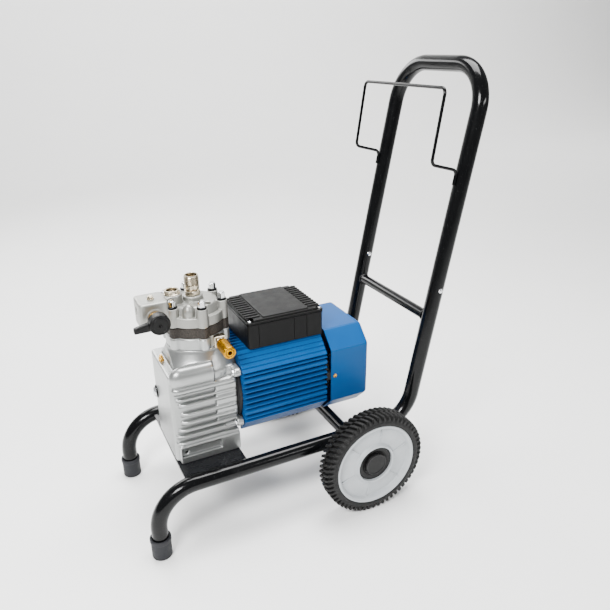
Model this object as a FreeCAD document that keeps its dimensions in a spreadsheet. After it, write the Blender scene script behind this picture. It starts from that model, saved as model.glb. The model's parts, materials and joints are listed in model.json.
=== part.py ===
import FreeCAD, Part
import math
import os
import re

import Sketcher
from FreeCAD import Placement, Rotation, Vector

# Airless paint sprayer: an electric diaphragm pump on a two-wheel tube cart.
# X runs from the front feet (-X) to the handle (+X), Y across the cart, Z up.
# The origin is on the floor, below the middle of the whole cart; reaches are measured from the axle.

doc = FreeCAD.newDocument("airless_sprayer")
sheet = doc.addObject("Spreadsheet::Sheet", "sizes")

driving = [
    # cart tubes
    ("tubeRadius", 16, "frame tube, outside radius"),
    ("tubeWall", 2, "frame tube wall"),
    ("trackHalf", 139, "centre plane to each side tube"),
    ("frontBend", 80, "centre radius of the front bend"),
    ("rearBend", 80, "centre radius of the bend behind the wheel"),
    ("legReach", 438, "axle to the front legs"),
    ("uprightReach", 126.4, "axle to the upright's line at rail height"),
    ("handleLean", 11.12, "uprights lean back, degrees"),
    ("uprightRise", 267, "rail centre up to the joint between upright and handle"),
    ("handleRise", 467.6, "that joint up to the centre of the handle's top bar"),
    ("handleBend", 84, "centre radius of the handle's corners"),
    ("crossRadius", 11, "tube between the uprights"),
    ("crossDrop", 30, "that tube's centre below the seam"),
    ("rearTubeRadius", 7.5, "thin tube between the rails"),
    ("rearTubeReach", 13, "that tube in front of the axle"),
    ("sleeveReach", 48, "inner sleeve, each way from the seam"),
    ("sleeveWall", 2, "inner sleeve wall"),
    ("slipFit", 0.1, "gap between pieces that slide together at assembly"),
    ("runningFit", 0.05, "radial gap on a shaft that turns"),
    ("jointScrewRise", 33.5, "handle screws above the seam"),
    ("jointScrewRadius", 3, "handle screw shank"),
    ("jointHeadRadius", 5.5, "handle screw head"),
    ("jointHeadRise", 3.2, "handle screw head height"),
    # rubber feet
    ("capFloor", 5, "rubber under the leg's end"),
    ("capHeight", 45, "foot cap height"),
    ("capWall", 3.4, "foot cap wall"),
    ("capRim", 1.2, "thicker band at the cap's mouth"),
    ("capRimHeight", 9, "height of that band"),
    # hose rack
    ("rackWire", 3.2, "hose rack wire radius"),
    ("rackTopReach", 91, "rack's top corner in front of the upright"),
    ("rackLowReach", 85, "rack's lower corner in front of the upright"),
    ("rackTopDrop", 38, "rack's top bar below the handle's"),
    ("rackLowDrop", 175.3, "rack's lower corner below the handle's top bar"),
    ("rackWeldDrop", 191.6, "rack's meeting with the upright below the handle's top bar"),
    ("rackTail", 28, "length welded along the upright"),
    ("rackBend", 11, "bend radius of the rack wire"),
    # base plate
    ("plateReach", 375, "axle to the plate's front edge"),
    ("plateLength", 128, "plate along the rails"),
    ("plateThick", 6, "plate thickness"),
    ("plateRise", 6, "plate's top above the rail centre"),
    # axle and wheels
    ("wheelRadius", 115, "outside of the tread"),
    ("wheelWidth", 45, "tyre width"),
    ("wheelGap", 23, "side tube to tyre"),
    ("beadRadius", 91, "tyre seat on the rim"),
    ("rimLip", 3, "raised outer lip of the rim"),
    ("rimWeb", 6, "rim disc thickness"),
    ("rimDish", 9, "rim disc sunk below the lip"),
    ("hubRingRadius", 41, "raised ring round the hub"),
    ("hubRingWall", 3.5, "that ring's wall"),
    ("hubRadius", 20, "hub boss"),
    ("hubCapRadius", 37, "black hub cap"),
    ("axleRadius", 9, "axle rod"),
    ("axleTubeRadius", 13, "tube welded under the rails"),
    ("clipRadius", 13, "axle clip"),
    ("clipThick", 2, "axle clip thickness"),
    ("sideGap", 0.5, "end play beside a wheel or clip"),
    # crankcase
    ("caseLength", 132, "crankcase length"),
    ("caseHalf", 72, "crankcase half width between the ribs"),
    ("caseCorner", 12, "chamfer on the front corners"),
    ("caseTop", 190, "crankcase block height above the plate"),
    ("caseWall", 12, "front wall"),
    ("chamberRadius", 58, "oil chamber"),
    ("footHalf", 83, "crankcase foot half width"),
    ("footHeight", 40, "crankcase foot height"),
    ("footInset", 6, "foot shorter than the case at the front"),
    ("slotLength", 82, "pocket in the foot"),
    ("slotHeight", 20, "pocket height"),
    ("slotDepth", 7, "pocket depth"),
    ("ribReach", 10, "ribs stand out of the sides"),
    ("ribThick", 6, "rib thickness"),
    ("ribPitch", 15.3, "rib spacing"),
    ("ribTop", 32, "top rib above the motor axis"),
    ("bossLength", 86, "half-round boss on the side"),
    ("bossRadius", 22.5, "its radius"),
    ("bossReach", 14, "its stand-out"),
    ("bossRise", 64, "boss centre above the motor axis"),
    ("collarRadius", 88, "round motor collar at the rear"),
    ("collarLength", 44, "its length"),
    ("lugRadius", 9, "screw ears at the motor joint"),
    ("lugLength", 7, "their length"),
    ("lugCircle", 101, "their pitch radius"),
    ("lugRoot", 24, "ears' reach in towards the motor axis"),
    ("lugRecess", 14, "room in the ribs in front of each screw head"),
    ("lugAngle", 34, "their angle above and below the side, degrees"),
    ("neckRadius", 60, "top of the sloping shoulder under the pump"),
    ("shoulderRadius", 80, "foot of that shoulder"),
    ("shoulderSink", 2, "shoulder foot below the block's top"),
    ("shoulderInset", 18, "flat in front of the shoulder"),
    ("neckHeight", 230, "pump seat above the plate"),
    ("caseBoltRadius", 4, "bolts through the crankcase foot"),
    ("drainRadius", 12, "hexagon drain plug"),
    ("drainAcross", 50, "drain plug to the far side of the centre"),
    ("drainDrop", 21, "drain plug below the motor axis"),
    ("fillerRadius", 6, "oil filler plug"),
    ("fillerAcross", 12, "filler plug to the far side of the centre"),
    # pump
    ("pumpInset", 80, "pump axis behind the crankcase front"),
    ("boltCircle", 56, "pump bolts"),
    ("boltCount", 6, "pump bolts"),
    ("earRadius", 11, "scallop round each pump bolt"),
    ("stackRadius", 60, "round body of the pump stack"),
    ("lowerThick", 24, "lower flange"),
    ("ringThick", 22, "support ring"),
    ("headThick", 20, "head's scalloped base"),
    ("headDome", 18, "head's sloping upper part"),
    ("domeRadius", 46, "its upper radius"),
    ("diaphragmRadius", 50, "diaphragm"),
    ("diaphragmThick", 2, "diaphragm thickness"),
    ("workRadius", 42, "working chamber"),
    ("boltShank", 4, "pump bolt shank radius"),
    ("boltHead", 7.5, "pump bolt head radius"),
    ("boltHeadRise", 13, "pump bolt head height"),
    ("washerRadius", 9.5, "spring washer"),
    ("washerThick", 3, "spring washer thickness"),
    ("holePlay", 0.5, "radial gap of a bolt in its hole"),
    ("inletBoss", 20, "boss under the inlet fitting"),
    ("inletBossRise", 10, "its height above the dome"),
    ("inletHex", 17, "inlet fitting hexagon radius"),
    ("inletHexRise", 10, "its height"),
    ("inletBarrel", 14.5, "inlet fitting threaded barrel"),
    ("inletBarrelRise", 30, "its height"),
    ("inletSpigot", 12, "part screwed into the head"),
    ("inletSpigotDrop", 16, "its length"),
    ("inletBore", 9, "bore of the inlet fitting"),
    ("valvePassage", 6, "inlet valve passage"),
    ("valveSeatRise", 14, "inlet seat above the head's face"),
    ("valvePocket", 13, "pocket under the inlet seat"),
    ("valveDisc", 10, "inlet valve disc radius"),
    ("valveDiscThick", 3, "inlet valve disc"),
    ("valveStem", 3, "inlet valve stem"),
    ("valveStemRise", 18, "inlet valve stem length"),
    ("valvePlay", 0.5, "valve disc to its seat at rest"),
    ("outletReach", 40, "outlet valve in front of the pump axis"),
    ("outletBoss", 19, "outlet boss radius"),
    ("outletNut", 16, "outlet ring nut radius"),
    ("outletNutRise", 8, "ring nut height"),
    ("outletBore", 7.5, "outlet chamber"),
    ("outletBall", 6, "outlet ball"),
    ("outletDepth", 30, "outlet chamber depth"),
    ("armRoot", 59, "arm's rear end in front of the pump axis"),
    ("armReach", 110, "arm's front end in front of the pump axis"),
    ("armHalf", 30, "arm half width"),
    ("armShift", 5, "arm's centre to the near side"),
    ("armHeight", 52, "arm height"),
    ("armDrop", 4, "arm's underside above the head's face"),
    ("portBore", 8, "paint outlet port"),
    ("portDepth", 20, "its threaded length"),
    ("bridgeHalf", 15, "neck between arm and head, half width"),
    ("bulgeRadius", 11, "rounded bulge on the head"),
    ("bulgeRise", 5, "its straight part"),
    ("bulgeReach", 21, "bulge in front of the pump axis"),
    ("bulgeAcross", 40, "bulge to the near side"),
    ("armScrewRadius", 7, "screw on the arm"),
    ("armScrewRise", 7, "its height"),
    ("leverReach", 83, "prime valve axis in front of the pump axis"),
    ("leverRise", 28, "prime valve axis above the head's face"),
    ("primeRadius", 13, "prime valve barrel"),
    ("primeLength", 16, "prime valve barrel length"),
    ("leverRadius", 20, "lever cap radius"),
    ("leverThick", 23, "lever cap length"),
    ("leverLength", 47, "lever's finger"),
    ("leverFinger", 6, "finger half height at its tip"),
    ("fingerDrop", 7, "finger tip below the lever axis"),
    ("leverPlay", 0.4, "lever to its barrel"),
    ("regulatorReach", 29, "pressure regulator behind the pump axis"),
    ("regulatorHalf", 12, "regulator block half width"),
    ("regulatorDeep", 16, "regulator block depth"),
    ("regulatorSeat", 50, "flat on the lower flange"),
    ("collarNeck", 8, "regulator neck radius"),
    ("collarNeckLength", 9, "regulator neck length"),
    ("knobRadius", 12.5, "pressure knob"),
    ("knobLength", 44, "pressure knob length"),
    # piston
    ("pistonRadius", 11, "piston"),
    ("linerRadius", 18, "cylinder liner"),
    ("linerLength", 52, "cylinder liner length"),
    ("followerRadius", 14, "piston foot"),
    ("followerThick", 5, "piston foot thickness"),
    ("camRadius", 26, "eccentric"),
    ("camOffset", 4, "eccentric throw"),
    ("camWidth", 24, "eccentric width"),
    ("camClear", 0.5, "gap between eccentric and piston foot"),
    # motor
    ("motorRise", 122, "motor axis above the plate"),
    ("motorHalf", 97.5, "side fins' tips"),
    ("motorTopHalf", 91.5, "top and bottom fins' tips"),
    ("motorCorner", 33, "corner chamfer of the fin outline"),
    ("finDepth", 11, "fin height"),
    ("finThick", 3, "fin thickness"),
    ("finRoot", 12, "fins run on inside the wall's slanted corners"),
    ("sideFinPitch", 12.4, "side fin spacing"),
    ("housingLength", 186, "blue housing length"),
    ("frontShieldThick", 8, "black front shield"),
    ("rearShieldThick", 9, "black rear shield"),
    ("shieldRadius", 90, "shield radius"),
    ("shieldScrew", 3.6, "shield screw shank"),
    ("housingWall", 10.5, "housing wall between fins and stator"),
    ("rotorRadius", 40, "rotor"),
    ("airGap", 0.5, "rotor to stator"),
    ("coreLength", 120, "stator and rotor core"),
    ("windingRadius", 60, "winding heads"),
    ("windingReach", 16, "winding heads beyond the core"),
    ("shaftRadius", 12, "motor shaft"),
    ("shaftNose", 84, "shaft into the crankcase"),
    ("shaftTail", 34, "shaft into the fan"),
    ("bearingRadius", 26, "ball bearings"),
    ("bearingThick", 15, "ball bearings"),
    ("bearingHub", 33, "bearing hubs of the shields"),
    ("fanRadius", 78, "cooling fan"),
    ("fanHub", 20, "fan hub"),
    ("fanDisc", 3, "fan disc"),
    ("fanBlade", 26, "fan blade length along the shaft"),
    ("bladeThick", 2.5, "fan blade"),
    ("bladeCount", 7, "fan blades"),
    ("coverLength", 91, "fan cover"),
    ("coverHalf", 97.7, "fan cover half width"),
    ("coverTopHalf", 95, "fan cover half height"),
    ("coverCorner", 35, "fan cover corner chamfer"),
    ("coverSheet", 1.5, "fan cover sheet"),
    ("coverScrewRadius", 3.5, "fan cover screw heads"),
    ("coverScrewInset", 9, "fan cover screws from the cover's front edge"),
    ("coverLug", 9, "rear shield's lugs under the fan cover screws, half height"),
    ("ventRadius", 4, "holes in the fan cover's back"),
    ("ventRings", 5, "rings of those holes"),
    ("ventPitch", 13, "spacing of the rings"),
    # terminal box
    ("boxGap", 5, "terminal box to the fan cover"),
    ("boxLength", 167, "terminal box length"),
    ("boxHalf", 73, "terminal box half width"),
    ("boxHeight", 52, "terminal box below the lid"),
    ("boxWall", 3, "terminal box wall"),
    ("lidHeight", 11.5, "lid height"),
    ("lidEdge", 4, "lid's rounded edge"),
    ("lidScrewInset", 9, "lid screws from the edges"),
    ("lidScrewRadius", 3.5, "lid screws"),
    ("capacitorRadius", 19, "capacitor"),
    ("capacitorLength", 90, "capacitor"),
    ("glandAlong", 40, "cable gland from the box front"),
    ("glandRadius", 11, "cable gland"),
    ("glandLength", 20, "cable gland length"),
    ("glandBore", 5, "cable gland bore"),
    ("switchAlong", 104, "switch from the box front"),
    ("switchLength", 30, "switch frame"),
    ("switchHeight", 24, "switch frame"),
    ("switchThick", 3, "switch frame stands out"),
    ("rockerLength", 22, "rocker"),
    ("rockerHeight", 16, "rocker"),
    ("rockerPlay", 1.2, "rocker to its frame"),
    ("rockerPin", 1, "rocker's pivot pins"),
    ("rockerPinReach", 2, "pins' reach into the frame"),
]
for row, (alias, number, note) in enumerate(driving, start=1):
    sheet.set("A%d" % row, alias)
    sheet.set("B%d" % row, str(number))
    sheet.set("C%d" % row, note)
    sheet.setAlias("B%d" % row, alias)
doc.recompute()
aliases = {alias for alias, number, note in driving}

# Places that several pieces share, each worked out from the driving sizes.
shared = {
    "railHeight": "wheelRadius + axleTubeRadius + tubeRadius",
    "seamHeight": "railHeight + uprightRise",
    "handleHeight": "seamHeight + handleRise",
    "handleTopX": "uprightReach + (handleHeight - railHeight) * tan(handleLean)",
    "originShift": "(legReach + tubeRadius + slipFit + capWall + capRim - handleTopX - tubeRadius) / 2",
    "caseReach": "plateReach",
    "pumpReach": "caseReach - pumpInset",
    "motorHeight": "plateTop + motorRise",
    "statorRadius": "motorTopHalf - finDepth - housingWall",
    "boxFront": "coverFront + boxGap + boxLength",
    "railInner": "trackHalf - tubeRadius",
    "plateTop": "railHeight + plateRise",
    "wheelInner": "trackHalf + tubeRadius + wheelGap",
    "wheelOuter": "wheelInner + wheelWidth",
    "hubEnd": "wheelOuter - rimDish - rimWeb",
    "caseRear": "caseReach - caseLength",
    "pumpSeat": "plateTop + neckHeight",
    "shoulderDrop": "neckHeight - caseTop + shoulderSink",
    "ringSeat": "pumpSeat + lowerThick",
    "headSeat": "ringSeat + ringThick",
    "earTop": "headSeat + headThick + headDome",
    "inletTop": "earTop + inletBossRise",
    "armTop": "headSeat + armDrop + armHeight",
    "outletX": "pumpReach + outletReach",
    "leverX": "pumpReach + leverReach",
    "leverZ": "headSeat + leverRise",
    "armFace": "armHalf + armShift",
    "capFace": "armFace + primeLength + leverPlay",
    "regulatorX": "pumpReach - regulatorReach",
    "regulatorZ": "pumpSeat + lowerThick / 2",
    "camTop": "motorHeight + camOffset + camRadius + camClear",
    "housingFront": "caseRear - frontShieldThick",
    "housingRear": "housingFront - housingLength",
    "coverFront": "housingRear - rearShieldThick",
    "coreFront": "housingFront - (housingLength - coreLength) / 2",
    "boxFloor": "motorHeight + motorTopHalf",
    "lidSeam": "boxFloor + boxHeight",
}


def bind(text):
    """Turn a size text into an expression that reads the sheet."""
    def swap(match):
        word = match.group(0)
        if word in shared:
            return "(" + bind(shared[word]) + ")"
        return "sizes." + word if word in aliases else word
    return re.sub(r"[A-Za-z][A-Za-z0-9]*", swap, str(text))


reader = doc.addObject("App::FeaturePython", "reader")
reader.addProperty("App::PropertyFloat", "answer")


def value(text):
    """The number that a size text stands for now."""
    reader.setExpression("answer", bind(text))
    reader.recompute()
    return reader.answer


axes = {
    "x": Rotation(Vector(0, 1, 0), Vector(0, 0, 1), Vector(1, 0, 0), "XYZ"),
    "y": Rotation(Vector(1, 0, 0), Vector(0, 0, -1), Vector(0, 1, 0), "XYZ"),
    "-y": Rotation(Vector(1, 0, 0), Vector(0, 0, 1), Vector(0, -1, 0), "XYZ"),
    "z": Rotation(),
}
nodes = {}


def place(thing, at, rotation=None):
    """Turn a piece, then tie its position to the sheet."""
    thing.Placement = Placement(Vector(), rotation or Rotation())
    for letter, text in zip("xyz", at):
        text = "%s + originShift" % text if letter == "x" else text
        thing.setExpression("Placement.Base." + letter, bind(text))
    return thing


def tie(thing, **sizes):
    for name, text in sizes.items():
        thing.setExpression(name, bind(text))
    return thing


def block(length, width, height, at):
    thing = doc.addObject("Part::Box", "block")
    return place(tie(thing, Length=length, Width=width, Height=height), at)


def rod(radius, length, at, along="z"):
    thing = doc.addObject("Part::Cylinder", "rod")
    return place(tie(thing, Radius=radius, Height=length), at, axes[along])


def taper(radius, end, length, at, along="z"):
    thing = doc.addObject("Part::Cone", "taper")
    return place(tie(thing, Radius1=radius, Radius2=end, Height=length), at, axes[along])


def ball(radius, at):
    return place(tie(doc.addObject("Part::Sphere", "ball"), Radius=radius), at)


def hexagon(radius, length, at, along="z"):
    thing = doc.addObject("Part::Prism", "hexagon")
    thing.Polygon = 6
    return place(tie(thing, Circumradius=radius, Height=length), at, axes[along])


def join(*pieces):
    thing = doc.addObject("Part::MultiFuse", "join")
    thing.Shapes = list(pieces)
    return thing


def group(*pieces):
    """Several separate solids that share one node."""
    thing = doc.addObject("Part::Compound", "group")
    thing.Links = list(pieces)
    return thing


def cut(base, *tools):
    thing = doc.addObject("Part::Cut", "cut")
    thing.Base = base
    thing.Tool = join(*tools) if len(tools) > 1 else tools[0]
    return thing


def overlap(first, second):
    thing = doc.addObject("Part::Common", "overlap")
    thing.Base = first
    thing.Tool = second
    return thing


def node(label, thing):
    thing.Label = label
    nodes[label] = thing
    return thing


def outline(body, plane, points):
    """A closed sketch on one of the body's own planes, every corner tied to the sheet."""
    sketch = body.newObject("Sketcher::SketchObject", "outline")
    origin = next(f for f in body.Origin.OriginFeatures if f.Role == plane)
    sketch.AttachmentSupport = [(origin, "")]
    sketch.MapMode = "FlatFace"
    spots = [Vector(value(u), value(v), 0) for u, v in points]
    count = len(spots)
    lines = [Part.LineSegment(spots[i], spots[(i + 1) % count]) for i in range(count)]
    sketch.addGeometry(lines, False)
    sketch.addConstraint(
        [Sketcher.Constraint("Coincident", i, 2, (i + 1) % count, 1) for i in range(count)])
    for i, (u, v) in enumerate(points):
        for kind, text, number, axis in (("DistanceX", u, spots[i].x, -2),
                                         ("DistanceY", v, spots[i].y, -1)):
            if abs(number) < 1e-9:
                sketch.addConstraint(Sketcher.Constraint("PointOnObject", i, 1, axis))
                continue
            index = sketch.addConstraint(Sketcher.Constraint(kind, -1, 1, i, 1, number))
            sketch.setExpression("Constraints[%d]" % index, bind(text))
    return sketch


def turned(points, at, about="z"):
    """A body turned about an axis: points are (radius, along) pairs."""
    body = doc.addObject("PartDesign::Body", "turned")
    plane, axis = {"z": ("XZ_Plane", "V_Axis"), "y": ("XY_Plane", "V_Axis"),
                   "x": ("XY_Plane", "H_Axis")}[about]
    if about == "x":
        points = [(along, radius) for radius, along in points]
    profile = outline(body, plane, points)
    spin = body.newObject("PartDesign::Revolution", "spin")
    spin.Profile = profile
    spin.ReferenceAxis = (profile, [axis])
    spin.Angle = 360
    profile.Visibility = False
    return place(body, at)


def padded(points, length, at, along="x", pocket=None, pocketDepth=None):
    """A body padded from an outline, with an optional pocket sunk from its far face."""
    body = doc.addObject("PartDesign::Body", "padded")
    pad = body.newObject("PartDesign::Pad", "pad")
    pad.Profile = outline(body, "XY_Plane", points)
    pad.setExpression("Length", bind(length))
    if pocket:
        hollow = body.newObject("PartDesign::Pocket", "hollow")
        hollow.Profile = outline(body, "XY_Plane", pocket)
        hollow.Reversed = True
        hollow.setExpression("Length", bind(pocketDepth))
    return place(body, at, axes[along])


def rectangle(halfWide, halfHigh):
    return [("-(%s)" % halfWide, "-(%s)" % halfHigh), (halfWide, "-(%s)" % halfHigh),
            (halfWide, halfHigh), ("-(%s)" % halfWide, halfHigh)]


def octagon(half, topHalf, corner, inset="0"):
    """Half width, half height and corner chamfer, all drawn in by the inset."""
    wide = "(%s - %s)" % (half, inset)
    high = "(%s - %s)" % (topHalf, inset)
    # an inset keeps the slanted sides parallel, so each chamfer loses (2 - sqrt 2) insets
    nip = "(%s - %s * 0.5858)" % (corner, inset)
    near, far = "%s - %s" % (wide, nip), "%s - %s" % (high, nip)
    return [(wide, "-(%s)" % far), (wide, far), (near, high), ("-(%s)" % near, high),
            ("-%s" % wide, far), ("-%s" % wide, "-(%s)" % far),
            ("-(%s)" % near, "-%s" % high), (near, "-%s" % high)]


def bent(points, bends):
    """A wire through the points, each inner corner rounded by its bend radius."""
    edges, start = [], points[0]
    for i, radius in enumerate(bends, start=1):
        before = (points[i - 1] - points[i]).normalize()
        after = (points[i + 1] - points[i]).normalize()
        half = before.getAngle(after) / 2
        setback = radius / math.tan(half)
        first, last = points[i] + before * setback, points[i] + after * setback
        middle = points[i] + (before + after).normalize() * (radius / math.sin(half) - radius)
        edges += [Part.LineSegment(start, first).toShape(), Part.Arc(first, middle, last).toShape()]
        start = last
    edges.append(Part.LineSegment(start, points[-1]).toShape())
    return Part.Wire(edges)


def swept(path, radius):
    """A round bar along the path."""
    start = path.Edges[0]
    ring = Part.Circle(start.valueAt(start.FirstParameter),
                       start.tangentAt(start.FirstParameter), radius)
    return path.makePipeShell([Part.Wire([ring.toShape()])], True, False)


def feature(label, shape):
    """A piece shaped by the functions above; its place is given after its shape."""
    thing = doc.addObject("Part::Feature", "shaped")
    thing.Shape = shape
    thing.Placement = Placement(Vector(value("originShift"), 0, 0), Rotation())
    return node(label, thing)


# ---- cart: side tubes, handle, cross tubes ----
lean = math.tan(math.radians(value("handleLean")))
track = value("trackHalf")
tube, bore = value("tubeRadius"), value("tubeRadius - tubeWall")
rail = value("railHeight")


def uprightX(height):
    """The upright's centre line leans back as it rises."""
    return value("uprightReach") + (height - rail) * lean


def handleScrew(y, radius, reach):
    """A round cutter across one tube, where the handle screw goes."""
    height = value("seamHeight + jointScrewRise")
    return Part.makeCylinder(radius, 2 * reach, Vector(uprightX(height), y - reach, height),
                             Vector(0, 1, 0))


def sideTube(side):
    y = side * track
    leg, seam = -value("legReach"), value("seamHeight")
    points = [Vector(leg, y, value("capFloor")), Vector(leg, y, rail),
              Vector(value("uprightReach"), y, rail), Vector(uprightX(seam), y, seam)]
    path = bent(points, [value("frontBend"), value("rearBend")])
    return swept(path, tube).cut(swept(path, bore))


def handleTube():
    seam, top = value("seamHeight"), value("handleHeight")
    corner = value("handleBend")
    points = [Vector(uprightX(seam), -track, seam), Vector(uprightX(top), -track, top),
              Vector(uprightX(top), track, top), Vector(uprightX(seam), track, seam)]
    path = bent(points, [corner, corner])
    shell = swept(path, tube).cut(swept(path, bore))
    hole = value("jointScrewRadius + slipFit")
    return shell.cut(Part.makeCompound([handleScrew(s * track, hole, tube * 2) for s in (-1, 1)]))


def sleeve(side):
    """A short tube inside the joint between upright and handle."""
    seam, reach = value("seamHeight"), value("sleeveReach")
    low, high = seam - reach, seam + reach
    ends = [Vector(uprightX(z), side * track, z) for z in (low, high)]
    along, length = (ends[1] - ends[0]).normalize(), (ends[1] - ends[0]).Length
    outer = bore - value("slipFit")
    ring = Part.makeCylinder(outer, length, ends[0], along).cut(
        Part.makeCylinder(outer - value("sleeveWall"), length, ends[0], along))
    return ring.cut(handleScrew(side * track, value("jointScrewRadius + slipFit"), tube * 2))


def jointScrew(side):
    """Domed head on the near side, nut on the far side, both flat on the round tube."""
    height = value("seamHeight + jointScrewRise")
    centre = Vector(uprightX(height), side * track, height)
    shank, head = value("jointScrewRadius"), value("jointHeadRadius")
    rise = value("jointHeadRise")
    reach = Vector(0, tube + rise, 0)
    bolt = Part.makeCylinder(shank, 2 * (tube + rise), centre - reach, Vector(0, 1, 0))
    flat = Part.makeCylinder(head, rise, centre - reach, Vector(0, 1, 0)).fuse(
        Part.makeCylinder(head, rise, centre + Vector(0, tube, 0), Vector(0, 1, 0)))
    return bolt.fuse(flat).removeSplitter()


def hoseRack():
    wire = value("rackWire")
    top, low, weld = (value("handleHeight - " + n) for n in ("rackTopDrop", "rackLowDrop", "rackWeldDrop"))
    out = (tube + wire) / math.cos(math.radians(value("handleLean")))
    tail = weld - value("rackTail")
    half = [Vector(uprightX(tail) - out, track, tail), Vector(uprightX(weld) - out, track, weld),
            Vector(uprightX(low) - value("rackLowReach"), track, low),
            Vector(uprightX(top) - value("rackTopReach"), track, top)]
    points = [Vector(p.x, -p.y, p.z) for p in half] + half[::-1]
    return swept(bent(points, [value("rackBend")] * 6), wire)


feature("side_tube_left", sideTube(-1))
feature("side_tube_right", sideTube(1))
feature("upper_handle", handleTube())
feature("handle_sleeves", Part.makeCompound([sleeve(-1), sleeve(1)]))
feature("handle_screws", Part.makeCompound([jointScrew(-1), jointScrew(1)]))
feature("hose_rack", hoseRack())

crossHeight = "(seamHeight - crossDrop)"
crossX = "uprightReach + (%s - railHeight) * tan(handleLean)" % crossHeight
node("handle_cross_tube", cut(
    rod("crossRadius", "2 * railInner", (crossX, "-railInner", crossHeight), "y"),
    rod("crossRadius - tubeWall", "2 * railInner", (crossX, "-railInner", crossHeight), "y")))
node("rear_cross_tube", cut(
    rod("rearTubeRadius", "2 * railInner", ("-rearTubeReach", "-railInner", "railHeight"), "y"),
    rod("rearTubeRadius - tubeWall", "2 * railInner",
        ("-rearTubeReach", "-railInner", "railHeight"), "y")))

caseBolts = [(x, y) for x in ("-(caseReach - footInset - 14)", "-(caseRear + 14)")
             for y in ("-(footHalf - 9)", "footHalf - 9")]
node("base_plate", cut(
    block("plateLength", "2 * railInner", "plateThick",
          ("-plateReach", "-railInner", "plateTop - plateThick")),
    *[rod("caseBoltRadius + slipFit", "plateThick", (x, y, "plateTop - plateThick"))
      for x, y in caseBolts]))


def footCap(y):
    outer, rim = "tubeRadius + slipFit + capWall", "tubeRadius + slipFit + capWall + capRim"
    inner = "tubeRadius + slipFit"
    return turned([(0, 0), (outer + " - 4", 0), (outer, 4), (outer, "capHeight - capRimHeight"),
                   (rim, "capHeight - capRimHeight"), (rim, "capHeight"), (inner, "capHeight"),
                   (inner, "capFloor"), (0, "capFloor")], ("-legReach", y, 0))


node("foot_cap_left", footCap("-trackHalf"))
node("foot_cap_right", footCap("trackHalf"))

# ---- axle and wheels ----
axleReach = "(wheelInner - sideGap)"
node("axle_tube", cut(
    rod("axleTubeRadius", "2 * " + axleReach, (0, "-" + axleReach, "wheelRadius"), "y"),
    rod("axleRadius + slipFit", "2 * " + axleReach, (0, "-" + axleReach, "wheelRadius"), "y")))
axleEnd = "(hubEnd + sideGap + clipThick + 3)"
node("axle", rod("axleRadius", "2 * " + axleEnd, (0, "-" + axleEnd, "wheelRadius"), "y"))


def clip(y):
    return cut(rod("clipRadius", "clipThick", (0, y, "wheelRadius"), "y"),
               rod("axleRadius", "clipThick", (0, y, "wheelRadius"), "y"))


node("wheel_clips", group(clip("-(hubEnd + sideGap + clipThick)"), clip("hubEnd + sideGap")))


def wheelSide(side):
    """Radius and distance from the cart's centre plane, for one side's wheel."""
    sign = "-" if side < 0 else ""
    along = lambda text: "%s(%s)" % (sign, text)
    middle = "wheelInner + wheelWidth / 2"
    shoulder, crown = "wheelRadius - 12", "wheelWidth / 2 - 8"
    tyre = [("beadRadius", "wheelInner"), ("beadRadius + 9", "wheelInner"),
            (shoulder, "wheelInner"), ("wheelRadius", middle + " - (%s)" % crown),
            ("wheelRadius", middle + " + %s" % crown), (shoulder, "wheelOuter"),
            ("beadRadius", "wheelOuter")]
    web = "hubEnd"
    bore = "axleRadius + runningFit"
    rim = [("beadRadius", "wheelInner"), ("beadRadius", "wheelOuter"),
           ("beadRadius - rimLip", "wheelOuter"), ("beadRadius - rimLip", "wheelOuter - rimDish"),
           ("hubRingRadius", "wheelOuter - rimDish"), ("hubRingRadius", "wheelOuter - 2"),
           ("hubRingRadius - hubRingWall", "wheelOuter - 2"),
           ("hubRingRadius - hubRingWall", web), (bore, web), (bore, "wheelInner"),
           ("hubRadius", "wheelInner"), ("hubRadius", web + " - rimWeb"),
           ("beadRadius - 5", web + " - rimWeb"), ("beadRadius - 5", "wheelInner")]
    capInner = "clipRadius + 2"
    hollow = axleEnd + " + 1"
    cap = [(capInner, web), ("hubCapRadius", web), ("hubCapRadius", "wheelOuter - 8"),
           ("hubCapRadius * 0.55", "wheelOuter - 6"), ("hubCapRadius * 0.5", "wheelOuter - 2"),
           (0, "wheelOuter - 2"), (0, hollow), (capInner, hollow)]
    place = (0, 0, "wheelRadius")
    return [turned([(r, along(a)) for r, a in profile], place, "y")
            for profile in (tyre, rim, cap)]


for label, side in (("left", -1), ("right", 1)):
    tyre, rim, cap = wheelSide(side)
    node("tyre_" + label, tyre)
    node("rim_" + label, rim)
    node("hub_cap_" + label, cap)

# ---- crankcase ----
caseFloor = "plateTop"
blockTop = "(plateTop + caseTop)"
plan = [("-caseReach", "-(caseHalf - caseCorner)"), ("-(caseReach - caseCorner)", "-caseHalf"),
        ("-caseRear", "-caseHalf"), ("-caseRear", "caseHalf"),
        ("-(caseReach - caseCorner)", "caseHalf"), ("-caseReach", "caseHalf - caseCorner")]
lugs = [(side, "%slugCircle * cos(lugAngle)" % side, "motorHeight + lugCircle * sin(%s)" % turn)
        for side in ("-", "") for turn in ("lugAngle", "-lugAngle")]


def lugEars(front, thick):
    """Four round-ended ears at the motor joint, each reaching in to the round body."""
    ears = []
    for side, y, z in lugs:
        ears.append(rod("lugRadius", thick, (front, y, z), "x"))
        inner = "-lugCircle * cos(lugAngle)" if side else "lugCircle * cos(lugAngle) - lugRoot"
        ears.append(block(thick, "lugRoot", "2 * lugRadius", (front, inner, z + " - lugRadius")))
    return ears


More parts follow.
